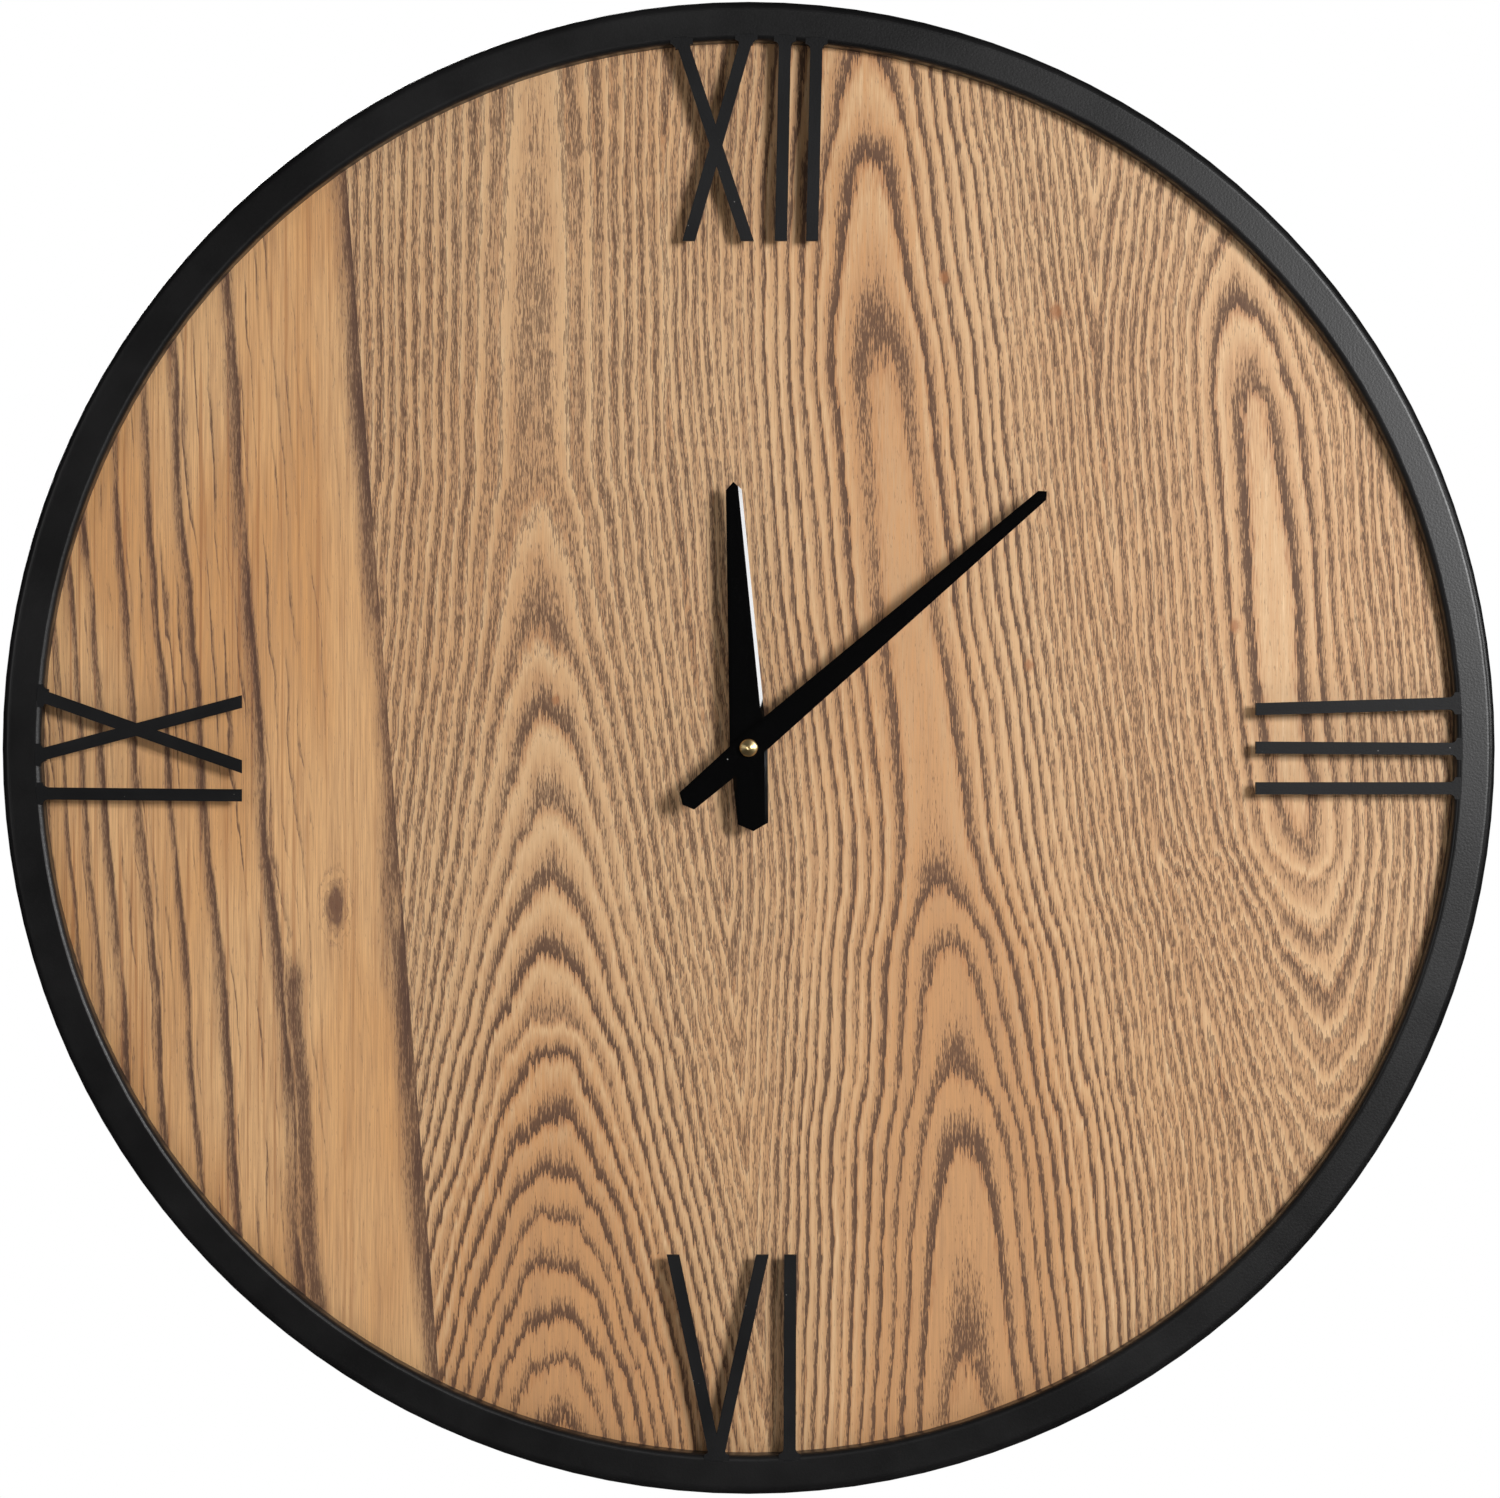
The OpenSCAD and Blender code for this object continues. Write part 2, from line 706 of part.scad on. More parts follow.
module contact_negative() color("silver") works() {
    contact_plate(-1);
    lying(contact_t / 2 - inner_half, cell_y, cell_z)
        cylinder(h = inner_half - contact_t / 2 - cell_len / 2 + cell_shift,
            r1 = spring_wide_r, r2 = spring_narrow_r);
}

module circuit_board() color("#2f6b3f") works() block(board_x, board_y, [board_z, board_z + board_t]);

module quartz_can() color("silver") works() 
    lying(board_x[0] + 2, board_y[1] - 2, board_z + board_t + can_r) cylinder(h = can_len, r = can_r);

module chip_blob() color("#141414") works() at(chip_place, board_z + board_t) intersection() {
    translate([0, 0, -chip_sink]) sphere(r = chip_sphere_r);
    cylinder(h = chip_sphere_r, r = chip_sphere_r);
}

module coil_core() color("#8d9094") works()
    block([coil_x - core_w / 2, coil_x + core_w / 2], [core_low, core_high],
        [stator_z + wheel_t, stator_z + 2 * wheel_t]);

module coil_tube(y0, y1, r) translate([coil_x, y0, coil_z]) rotate([-90, 0, 0])
    cylinder(h = y1 - y0, r = r);

module coil_bobbin() color("#e9e6dc") works() difference() {
    union() {
        coil_tube(coil_low, coil_high, bobbin_tube_r);
        coil_tube(coil_low, coil_low + bobbin_flange_t, bobbin_r);
        coil_tube(coil_high - bobbin_flange_t, coil_high, bobbin_r);
    }
    block([coil_x - core_w / 2, coil_x + core_w / 2], [coil_low - 1, coil_high + 1],
        [stator_z + wheel_t, stator_z + 2 * wheel_t]);
}

module coil_winding() color("#b4652c") works() difference() {
    coil_tube(coil_low + bobbin_flange_t, coil_high - bobbin_flange_t, winding_r);
    coil_tube(coil_low, coil_high, bobbin_tube_r);
}

module stator() color("#8d9094") works() difference() {
    union() {
        web = rotor_place[0] - stator_web / 2;
        levels = [stator_z, stator_z + wheel_t];
        block([web, web + stator_web], [stator_low, stator_high], levels);
        for (y = [stator_low, stator_high - stator_arm_w])
            block([web, coil_x + core_w / 2], [y, y + stator_arm_w], levels);
        at(rotor_place, 0) disc(stator_z, stator_z + wheel_t, stator_ring_r);
    }
    at(rotor_place, 0) disc(stator_z - 1, stator_z + 2, stator_hole_r);
}

// Going train

module rotor_magnet() color("#55585c") works() at(rotor_place, 0)
    tube(stator_z - magnet_over, stator_z + wheel_t + magnet_over, shaft_r, magnet_r);

module rotor_pinion() color("#e6e2d6") works() at(rotor_place, 0) {
    pivoted(pivot_floor + pivot_slack, boss_z + shoulder_gap, plate_z - shoulder_gap,
        plate_z + pivot_out);
    pinion(rotor_leaves, rotor_module, intermediate_z - leaf_over,
        intermediate_z + wheel_t + leaf_over, rotor_pinion_turn);
}

module intermediate_wheel() color("#f0eee4") works() at(intermediate_place, 0) {
    pivoted(pivot_floor + pivot_slack, boss_z + shoulder_gap, plate_z - shoulder_gap,
        plate_z + pivot_out);
    wheel(intermediate_teeth, rotor_module, intermediate_z);
    pinion(intermediate_leaves, seconds_module, seconds_z - leaf_over, intermediate_z + leaf_sink,
        intermediate_pinion_turn);
}

module seconds_wheel() color("#f0eee4") works() {
    pivoted(pivot_floor + pivot_slack, boss_z + shoulder_gap, plate_z - shoulder_gap,
        plate_z + pivot_out / 2);
    wheel(seconds_teeth, seconds_module, seconds_z);
    pinion(seconds_leaves, third_module, third_z - leaf_over + shoulder_gap, seconds_z + leaf_sink,
        seconds_pinion_turn);
}

module third_wheel() color("#f0eee4") works() at(third_place, 0) {
    pivoted(pivot_floor + pivot_slack, boss_z + shoulder_gap, cover_z - shoulder_gap, cover_pivot_z);
    wheel(third_teeth, third_module, third_z);
    pinion(third_leaves, centre_module, centre_z - leaf_over, centre_z + wheel_t + leaf_over,
        third_pinion_turn);
}

module centre_wheel() color("#f0eee4") works() difference() {
    wheel(centre_teeth, centre_module, centre_z);
    disc(centre_z - 1, centre_z + 2, arbor_r);
}

module friction_washer() color("#c9a24a") works()
    tube(centre_z + wheel_t, centre_z + wheel_t + clutch_t, arbor_r, clutch_r);

// Motion work

module minute_arbor() color("#c9ccd0") hang() difference() {
    rear = movement_z + plate_z;
    shoulder = movement_z + centre_z;
    rotate_extrude() polygon([
        [0, rear + 0.6],
        [pivot_r, rear + 0.6],
        [pivot_r, rear + plate_t + end_shake],
        [arbor_head_r, rear + plate_t + end_shake],
        [arbor_head_r, shoulder],
        [arbor_r, shoulder],
        [arbor_r, nut_z],
        [thread_r, nut_z],
        [thread_r, nut_z + nut_h * 0.5],
        [0, nut_z + nut_h * 0.5],
    ]);
    rotate(-minute_angle) for (side = [-1, 1])
        translate([side * (flat_w / 2 + arbor_r), 0, (minute_z - hub_drop + nut_z) / 2])
            cube([2 * arbor_r, 4 * arbor_r, nut_z - minute_z + hub_drop], center = true);
}

module cannon_pinion() color("#c9a24a") works() difference() {
    pinion(cannon_leaves, motion_module, motion_z - leaf_over, motion_z + wheel_t + leaf_over, cannon_turn);
    disc(motion_z - 1, motion_z + 3, arbor_r);
}

module motion_wheel() color("#f0eee4") works() at(motion_place, 0) {
    pivoted(plate_z + 3 * pivot_slack, plate_z + plate_t + shoulder_gap, cover_z - shoulder_gap,
        cover_pivot_z);
    wheel(motion_teeth, motion_module, motion_z);
    pinion(motion_leaves, hour_module, motion_z + wheel_t - leaf_sink, cover_z - end_shake,
        motion_pinion_turn);
}

module hour_wheel() color("#f0eee4") hang() difference() {
    translate([0, 0, movement_z]) {
        wheel(hour_teeth, hour_module, hour_wheel_z);
        disc(hour_wheel_z, hour_z + hand_t - movement_z, pipe_r);
    }
    disc(0, overall_depth, arbor_r + run_clear);
}

module setting_knob() color("#f0eee4") works() at(knob_place, 0) {
    difference() {
        disc(-knob_gap - knob_t, -knob_gap, knob_d / 2);
        for (i = [0:knob_grips - 1]) rotate(i * 360 / knob_grips)
            translate([knob_d / 2 + knob_grip_r / 2, 0, -2 * knob_t])
                cylinder(h = 2 * knob_t, r = knob_grip_r, $fn = 16);
    }
    disc(-knob_gap - shoulder_gap, cover_z - 3 * shoulder_gap, knob_shaft_r);
    disc(cover_z - 4 * shoulder_gap, cover_pivot_z, pivot_r);
    pinion(knob_leaves, motion_module, motion_z - leaf_over, motion_z + wheel_t + leaf_over, knob_turn);
}

rim();
dial_clips();
clip_screws();
hanger_strap();
hanger_screws();
twelve_x();
twelve_i_left();
twelve_i_right();
three_i_top();
three_i_middle();
three_i_bottom();
six_v();
six_i();
nine_x();
nine_i();
dial_board();
veneer_left();
veneer_right();
veneer_back();
hour_hand();
hour_collet();
minute_hand();
minute_bush();
hand_nut();
seal_washer();
front_washer();
hex_nut();
threaded_bush();
movement_case();
movement_cover();
middle_plate();
battery();
contact_positive();
contact_negative();
circuit_board();
quartz_can();
chip_blob();
coil_core();
coil_bobbin();
coil_winding();
stator();
rotor_magnet();
rotor_pinion();
intermediate_wheel();
seconds_wheel();
third_wheel();
centre_wheel();
friction_washer();
minute_arbor();
cannon_pinion();
motion_wheel();
hour_wheel();
setting_knob();
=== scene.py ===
"""Finish, stage and light for the round open-dial wall clock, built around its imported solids."""

import math

import bmesh
import bpy
from mathutils import Matrix, Vector


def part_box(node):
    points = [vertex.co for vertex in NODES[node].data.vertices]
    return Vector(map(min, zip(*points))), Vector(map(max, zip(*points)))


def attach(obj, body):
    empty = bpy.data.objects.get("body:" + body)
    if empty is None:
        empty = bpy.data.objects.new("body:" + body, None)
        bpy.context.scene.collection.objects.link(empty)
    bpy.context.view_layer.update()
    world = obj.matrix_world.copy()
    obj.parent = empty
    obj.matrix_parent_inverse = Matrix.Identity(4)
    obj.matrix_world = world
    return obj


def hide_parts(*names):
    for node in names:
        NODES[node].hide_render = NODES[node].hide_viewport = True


bl_info = {
    "name": "Open-dial wall clock finish",
    "version": (1, 0, 0),
    "blender": (4, 5, 0),
    "location": "3D View > Sidebar > Wall Clock",
    "description": "Paint, veneer, brass and movement detail for a round wall clock",
    "category": "Object",
}

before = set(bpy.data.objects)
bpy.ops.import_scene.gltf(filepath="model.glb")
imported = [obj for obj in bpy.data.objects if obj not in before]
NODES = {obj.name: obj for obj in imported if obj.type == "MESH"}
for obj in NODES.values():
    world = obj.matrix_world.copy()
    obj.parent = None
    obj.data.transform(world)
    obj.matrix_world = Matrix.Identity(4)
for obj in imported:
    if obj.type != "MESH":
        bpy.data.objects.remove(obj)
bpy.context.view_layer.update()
MM = 0.001  # metres in a millimetre
RING_MM = 4.0  # from ring to ring, across the grain
SEAM_LEAN = 0.077  # how far the seam between the leaves moves left for each mm up
PORE_DEPTH = 0.00012  # bump of an open vessel, in metres
CRISP = math.radians(32.0)  # an edge that bends more than this stays sharp
TONES = ("light", "warm", "pale", "mid", "dark", "pore", "rust")
CLIPS = 8  # clips round the rim, each with its screw

# The grain flames, in mm from the arbor: (height, across) of each spine and (height, ring count) up it.
MAIN_SPINE = [(-300, -80), (-60, -80), (98, -88), (300, -88)]
MAIN_RINGS = [(-300, -2), (-255.5, 0), (-233.5, 1), (-212.6, 2), (-191.8, 3), (-174.6, 4), (-153.3, 5),
              (-127.6, 6), (-110.8, 7), (-84.7, 8), (-57.7, 9), (-25.4, 10), (14.3, 11), (46.5, 12),
              (97.6, 13), (112, 13.2), (300, 13.6)]
MIDDLE_SPINE = [(-300, 91), (-246, 90.5), (-144, 87), (-70, 81), (-3, 74), (57, 65), (164, 52), (239, 49),
                (300, 47)]
MIDDLE_RINGS = [(-300, -0.6), (-252, 0), (-200, 0.5), (-161, 1), (-135, 2), (-84, 3), (-59, 4), (-30, 4.5),
                (57, 4.72), (150, 4.93), (168, 5), (194, 5.5), (236, 6), (255, 6.4), (300, 7.4)]
OUTER_SPINE = [(-300, 236), (-121, 240), (-77, 233), (-40, 229), (20, 217), (57, 215), (139, 208),
               (179, 203), (300, 196)]
OUTER_RINGS = [(-220, 19), (-175, 17), (-152, 16), (-139, 15), (-121, 14), (-99, 13), (-77, 12), (-55, 11),
               (-40.5, 10), (-10, 9.8), (20, 9.78), (57, 9.62), (90, 9.8), (139, 9.92), (150, 10),
               (179, 11), (207, 12), (236, 13), (300, 15)]

# Pin knots of the right leaf: across, up and radius in mm.
RIGHT_KNOTS = [(80.3, 193.0, 3.0), (126.1, 179.0, 3.6), (115.0, 34.0, 2.8), (199.6, 50.0, 3.2),
               (-79.0, 19.6, 2.4)]

# The left leaf in mm: where its bands start and how far they run, then each band's place, half width and
# darkness (0 to 1), and the middle of its knot.
LEFT_START, LEFT_WIDTH = -305.0, 165.0
LEFT_BANDS = [(-288.0, 2.4, 0.8), (-280.7, 2.4, 0.9), (-272.5, 3.2, 0.9), (-263.9, 3.8, 1.0),
              (-250.5, 3.6, 1.0), (-237.8, 3.0, 1.0), (-223.9, 4.6, 1.0), (-199.3, 6.0, 1.0)]
LEFT_KNOT_X, LEFT_KNOT_Z = -169.5, -65.0

# Lamps: name, place and size in metres, the stage setting with the power, and whether matt surfaces see it.
LAMPS = (
    ("key_light", (0.87, -1.54, 0.33), (0.42, 0.42), "key_watts", True),
    ("fill_light", (-1.35, -1.45, 0.25), (0.7, 0.7), "fill_watts", True),
    ("side_strip", (1.243, -0.43, 0.175), (0.14, 0.28), "side_watts", False),
    ("back_light", (-0.7, 1.9, 0.8), (1.0, 1.0), "back_watts", True),
)
CAMERA_X, CAMERA_Z = 0.00055, -0.00046  # small shift that centres the rim in the view
SCALE_PLANE = 0.0137  # how far in front of the origin the view's half width is measured
SENSOR_MM = 36.0
GLOSS_SHARE = 0.2  # share of the room's light that reflections see
FLOOR_HALF = 1.5


# ---------------------------------------------------------------- shader maths


class Wire:
    """A shader socket that takes arithmetic; each step adds its Math node."""

    def __init__(self, finish, socket):
        self.finish = finish
        self.socket = socket

    def _math(self, operation, first, second):
        return self.finish.node("ShaderNodeMath", {"operation": operation}, {0: first, 1: second})

    def __add__(self, other):
        return self._math("ADD", self, other)

    __radd__ = __add__

    def __sub__(self, other):
        return self._math("SUBTRACT", self, other)

    def __rsub__(self, other):
        return self._math("SUBTRACT", other, self)

    def __mul__(self, other):
        return self._math("MULTIPLY", self, other)

    __rmul__ = __mul__

    def __truediv__(self, other):
        return self._math("DIVIDE", self, other)

    def __abs__(self):
        return self._math("ABSOLUTE", self, 0.0)

    def __gt__(self, other):
        return self._math("GREATER_THAN", self, other)

    def root(self):
        """The square root."""
        return self._math("SQRT", self, 0.0)

    def part(self):
        """What is left after the whole number."""
        return self._math("FRACT", self, 0.0)

    def most(self, other):
        """The larger of two."""
        return self._math("MAXIMUM", self, other)

    def blend_least(self, other, reach):
        """The smaller of two, rounded over where they cross."""
        return self.finish.node(
            "ShaderNodeMath", {"operation": "SMOOTH_MIN"}, {0: self, 1: other, 2: reach}
        )

    def _climb(self, kind, *limits):
        sockets = dict(enumerate((self, *limits)))
        return self.finish.node("ShaderNodeMapRange", {"interpolation_type": kind, "clamp": True}, sockets)

    def step(self, low, high, to_low=0.0, to_high=1.0):
        """Smooth climb from to_low at low to to_high at high, held beyond."""
        return self._climb("SMOOTHSTEP", low, high, to_low, to_high)

    def line(self, low, high, to_low=0.0, to_high=1.0):
        """Straight climb from to_low at low to to_high at high, held beyond."""
        return self._climb("LINEAR", low, high, to_low, to_high)


class Finish:
    """One material, with its shader ready to take values and wires; x, y and z are the place in mm."""

    def __init__(self, name):
        self.material = bpy.data.materials.new(name)
        self.material.use_nodes = True
        self.tree = self.material.node_tree
        self.tree.nodes.clear()
        self.shader = self.tree.nodes.new("ShaderNodeBsdfPrincipled")
        out = self.tree.nodes.new("ShaderNodeOutputMaterial")
        self.tree.links.new(self.shader.outputs[0], out.inputs[0])
        place = Wire(self, self.tree.nodes.new("ShaderNodeTexCoord").outputs["Object"])
        apart = self.tree.nodes.new("ShaderNodeSeparateXYZ")
        self.tree.links.new(place.socket, apart.inputs[0])
        self.x, self.y, self.z = (Wire(self, s) / MM for s in apart.outputs)

    def node(self, kind, settings, sockets, out=0):
        """Adds a node: its settings first, then the values or wires of its sockets."""
        made = self.tree.nodes.new(kind)
        for key, value in settings.items():
            if key == "stops":
                self._stops(made.color_ramp, value)
            else:
                setattr(made, key, value)
        for key, value in sockets.items():
            self.feed(made.inputs[key], value)
        return Wire(self, made.outputs[out])

    @staticmethod
    def _stops(ramp, stops):
        while len(ramp.elements) < len(stops):
            ramp.elements.new(1.0)
        for element, (at, colour) in zip(ramp.elements, stops):
            element.position = at
            element.color = (*colour, 1.0)

    def feed(self, socket, value):
        """Links a wire to a socket or stores a plain value in it, a colour with or without its alpha."""
        if isinstance(value, Wire):
            self.tree.links.new(value.socket, socket)
        elif socket.type == "RGBA" and len(value) == 3:
            socket.default_value = (*value, 1.0)
        else:
            socket.default_value = value

    def set(self, **sockets):
        """Feeds the shader's own sockets, named with _ for a space."""
        for key, value in sockets.items():
            self.feed(self.shader.inputs[key.replace("_", " ")], value)
        return self

    def vector(self, x, y, z):
        return self.node("ShaderNodeCombineXYZ", {}, {0: x, 1: y, 2: z})

    def noise(self, x, y, z, detail=2.0, rough=0.5):
        """Cloudy noise, 0 to 1 around 0.5, read at a place given in its own grain sizes."""
        return self.node(
            "ShaderNodeTexNoise",
            {"noise_dimensions": "3D"},
            {"Vector": self.vector(x, y, z), "Scale": 1.0, "Detail": detail, "Roughness": rough},
        )

    def cells(self, x, y, z):
        """Distance to the nearest of scattered points."""
        return self.node(
            "ShaderNodeTexVoronoi",
            {"feature": "F1", "voronoi_dimensions": "3D"},
            {"Vector": self.vector(x, y, z), "Scale": 1.0},
        )

    def mix(self, amount, first, second):
        """The first colour where amount is 0, the second where it is 1."""
        return self.node(
            "ShaderNodeMix",
            {"data_type": "RGBA", "blend_type": "MIX", "clamp_factor": True},
            {0: amount, 6: first, 7: second},
            out=2,
        )

    def ramp(self, value, stops, how="LINEAR"):
        """Colours from (at, colour) stops."""
        wire = self.node("ShaderNodeValToRGB", {"stops": stops}, {0: value})
        wire.socket.node.color_ramp.interpolation = how
        return wire

    def grey(self, value, stops):
        """A ramp of plain numbers."""
        return self.ramp(value, [(at, (level,) * 3) for at, level in stops])

    def path(self, value, stops):
        """A number that follows (at, level) stops in a smooth curve."""
        start, end = stops[0][0], stops[-1][0]
        levels = [level for _, level in stops]
        low, high = min(levels), max(levels)
        share = (value - start) / (end - start)
        stops = [
            ((at - start) / (end - start), ((level - low) / (high - low),) * 3) for at, level in stops
        ]
        return self.ramp(share, stops, "B_SPLINE") * (high - low) + low

    def bump(self, height, strength, distance):
        """Raises the surface by height, 0 to 1, times a distance in metres."""
        sockets = {"Strength": strength, "Distance": distance, "Height": height}
        wire = self.node("ShaderNodeBump", {}, sockets)
        self.feed(self.shader.inputs["Normal"], wire)
        return self


def from_screen(red, green, blue):
    """Screen colour, 0 to 255, as the linear colour a shader takes."""
    def one(c):
        c /= 255.0
        return c / 12.92 if c <= 0.04045 else ((c + 0.055) / 1.055) ** 2.4

    return one(red), one(green), one(blue)


# ---------------------------------------------------------------- finishes
# A coordinate divided by a number reads a pattern whose grains are that many mm long. A plain number in its
# place picks another slice of the noise, so that two patterns differ.


def dashes(f, band, ease=0.6):
    """Open vessels as short dark dashes along the grain: packed where band is 1, rare where it is 0."""
    fine = f.noise(f.x / 0.38, 3.0, f.z / 3.4, detail=1.5, rough=0.65)
    coarse = f.noise(f.x / 0.8, 11.0, f.z / 9.0, detail=1.0)
    return ((fine * 0.62 + coarse * 0.38 - 0.5) * 2.0 + band * ease).step(0.16, 0.42)


def veneer_fibre(f):
    """Fine light and dark streaks along the grain, around 0."""
    return (
        f.noise(f.x / 0.5, 5.0, f.z / 24.0, detail=3.0) * 0.65
        + f.noise(f.x / 2.6, 9.0, f.z / 90.0, detail=2.0) * 0.35
        - 0.5
    )


def flame(f, x, z, spine, rings, blunt):
    """Ring count of one arched flame: spine gives its middle, rings the count up that middle."""
    aside = x - f.path(z, spine)
    return f.path(z, rings) + ((aside * aside + blunt * blunt).root() - blunt) / RING_MM


def right_leaf(name, tone):
    """Oiled leaf with three long flames of arched grain."""
    f = Finish(name)
    sway = f.noise(f.x / 42.0, 1.0, f.z / 110.0, detail=2.0) - 0.5
    x = f.x + sway * 8.0 + (f.noise(f.x / 5.0, 2.0, f.z / 26.0, detail=1.0) - 0.5) * 1.6
    z = f.z + (f.noise(f.x / 1.1, 2.0, f.z / 30.0, detail=2.0) - 0.5) * 12.0
    z = z + (f.noise(f.x / 11.0, 6.0, f.z / 60.0, detail=1.0) - 0.5) * 16.0

    turn = flame(f, x, z, MAIN_SPINE, MAIN_RINGS, 41.0)
    turn = turn.blend_least(flame(f, x, z, MIDDLE_SPINE, MIDDLE_RINGS, 34.0), 1.2)
    turn = turn.blend_least(flame(f, x, z, OUTER_SPINE, OUTER_RINGS, 28.0), 1.2)
    turn = turn + (f.noise(turn / 2.3, 4.0, f.z / 500.0, detail=1.0) - 0.5) * 0.5
    turn = turn + (f.noise(f.x / 0.6, 7.0, f.z / 9.0, detail=1.0) - 0.5) * 0.45
    phase = turn.part()
    early = f.grey(phase, [(0.0, 0.0), (0.03, 1.0), (0.2, 0.8), (0.42, 0.3), (0.58, 0.04), (0.96, 0.0)])
    strength = f.noise(turn / 1.3, 8.0, f.z / 240.0, detail=1.0).step(0.32, 0.6, 0.5, 1.0)
    between = turn.step(9.0, 14.0)
    early = early * strength * (1.0 - between * 0.25)
    half = (turn * 2.0 + 0.5 + (f.noise(f.x / 3.0, 5.0, f.z / 22.0) - 0.5) * 0.9).part()
    lines = f.grey(half, [(0.0, 0.0), (0.08, 0.95), (0.45, 0.4), (0.75, 0.0)]) * between
    pores = dashes(f, early.most(lines * 0.8))
    fibre = veneer_fibre(f)
    cloud = f.noise(f.x / 130.0, 3.0, f.z / 190.0, detail=2.0).step(0.38, 0.62)

    heart = turn.step(3.0, 11.0, 1.0, 0.0)
    light = f.mix(cloud * 0.5 + heart * 0.9, tone["light"], tone["warm"])
    wood = f.mix(fibre * 3.6 + 0.42, light, tone["mid"])
    wood = f.mix(early * 0.28, wood, tone["dark"])
    rust = f.grey(phase, [(0.0, 0.5), (0.05, 0.0), (0.9, 0.0), (0.985, 0.9), (1.0, 0.5)])
    wood = f.mix(rust * strength * 0.6, wood, tone["rust"])
    pale = f.grey(phase, [(0.0, 0.0), (0.5, 0.0), (0.78, 1.0), (0.97, 0.0)]) * turn.step(3.0, 7.0)
    wood = f.mix(pale * (fibre * 5.0 + 0.6) * 0.65, wood, tone["pale"])
    wood = f.mix(pores * (0.62 + early * 0.26), wood, tone["pore"])
    wood = f.mix(pin_knots(f, RIGHT_KNOTS), wood, tone["rust"])
    f.set(Base_Color=wood, Roughness=0.46 + pores * 0.14 + early * 0.06, Specular_IOR_Level=0.35)
    return f.bump(-1.0 * pores, 0.5, PORE_DEPTH)


def pin_knots(f, places):
    """Small round knots as (across, up, radius) in mm."""
    total = None
    for across, up, radius in places:
        dx = f.x - across
        dz = (f.z - up) * 0.75
        spot = (dx * dx + dz * dz).root() + (f.noise(f.x / 1.2, 1.0, f.z / 1.2) - 0.5) * 2.0
        spot = spot.step(radius * 0.25, radius, 0.75, 0.0)
        total = spot if total is None else total.most(spot)
    return total


def left_leaf(name, tone):
    """Oiled leaf with a few wide-set dark bands, a broad plain stripe and one knot."""
    f = Finish(name)
    sway = f.noise(f.x / 60.0, 1.0, f.z / 120.0, detail=2.0) - 0.5
    jitter = f.noise(f.x / 4.0, 2.0, f.z / 26.0, detail=2.0) - 0.5
    across = f.x + f.z * SEAM_LEAN + sway * 11.0 + jitter * 3.0
    knot_x = f.x - LEFT_KNOT_X
    knot_z = f.z - LEFT_KNOT_Z
    knot_r = (knot_x * knot_x * 5.5 + knot_z * knot_z).root()
    knot_r = knot_r + (f.noise(f.x / 1.6, 1.0, f.z / 5.0) - 0.5) * 12.0
    push = knot_r.step(4.0, 70.0, 1.0, 0.0)
    across = across + push * knot_x * 0.35
    band = f.grey((across - LEFT_START) / LEFT_WIDTH, left_bands())
    patchy = f.noise(f.x / 5.0, 8.0, f.z / 50.0, detail=2.0).step(0.3, 0.55, 0.6, 1.0)
    toward_bands = f.x.line(-205.0, -150.0, 1.0, 0.12)
    stray = ((across + (f.noise(f.x / 14.0, 6.0, f.z / 70.0) - 0.5) * 9.0) / 4.7).part()
    stray = f.grey(stray, [(0.0, 0.0), (0.05, 0.8), (0.3, 0.2), (0.5, 0.0)]) * toward_bands
    stray = stray * f.noise(across / 3.0, 9.0, f.z / 90.0, detail=1.0).step(0.46, 0.62)
    whorl = f.grey((knot_r / 5.0).part(), [(0.0, 0.0), (0.1, 0.7), (0.5, 0.1), (0.8, 0.0)])
    whorl = whorl * knot_r.step(12.0, 24.0, 0.6, 0.0)
    swell = (abs(across + 195.0) / 5.5).step(0.2, 1.0, 0.75, 0.0) * f.z.step(-98.0, -76.0, 1.0, 0.0)
    band = (band * patchy).most(stray).most(whorl).most(swell)
    pores = dashes(f, band, 0.5)
    fibre = veneer_fibre(f)
    cloud = f.noise(f.x / 50.0, 3.0, f.z / 200.0, detail=2.0).step(0.38, 0.62)
    hair = f.noise(f.x / 1.6, 4.0, f.z / 150.0, detail=3.0).step(0.52, 0.66)
    knot = knot_r.step(4.0, 13.0, 1.0, 0.0)

    light = f.mix(cloud, tone["light"], tone["warm"])
    wood = f.mix(fibre * 3.4 + 0.34, light, tone["mid"])
    wood = f.mix(hair * (0.18 + toward_bands * 0.4), wood, tone["rust"])
    wood = f.mix(band * 0.85, wood, tone["dark"])
    wood = f.mix(pores * (0.3 + band * 0.5), wood, tone["pore"])
    wood = f.mix(knot * 0.85, wood, tone["dark"])
    f.set(Base_Color=wood, Roughness=0.44 + pores * 0.12 + band * 0.08, Specular_IOR_Level=0.35)
    return f.bump(-1.0 * (pores + band * 0.3), 0.5, PORE_DEPTH)


def left_bands():
    """Ramp stops for the dark bands: each darkens on its left and breaks off on its right."""
    stops = [(LEFT_START, 0.1)]
    for centre, wide, level in LEFT_BANDS:
        stops += [(centre - wide, 0.10), (centre, level), (centre + wide * 0.3, 0.02)]
    stops += [(-156.0, 0.05), (-151.0, 0.6), (-147.0, 1.0)]  # the dark edge along the seam
    return [((at - LEFT_START) / LEFT_WIDTH, level) for at, level in stops]


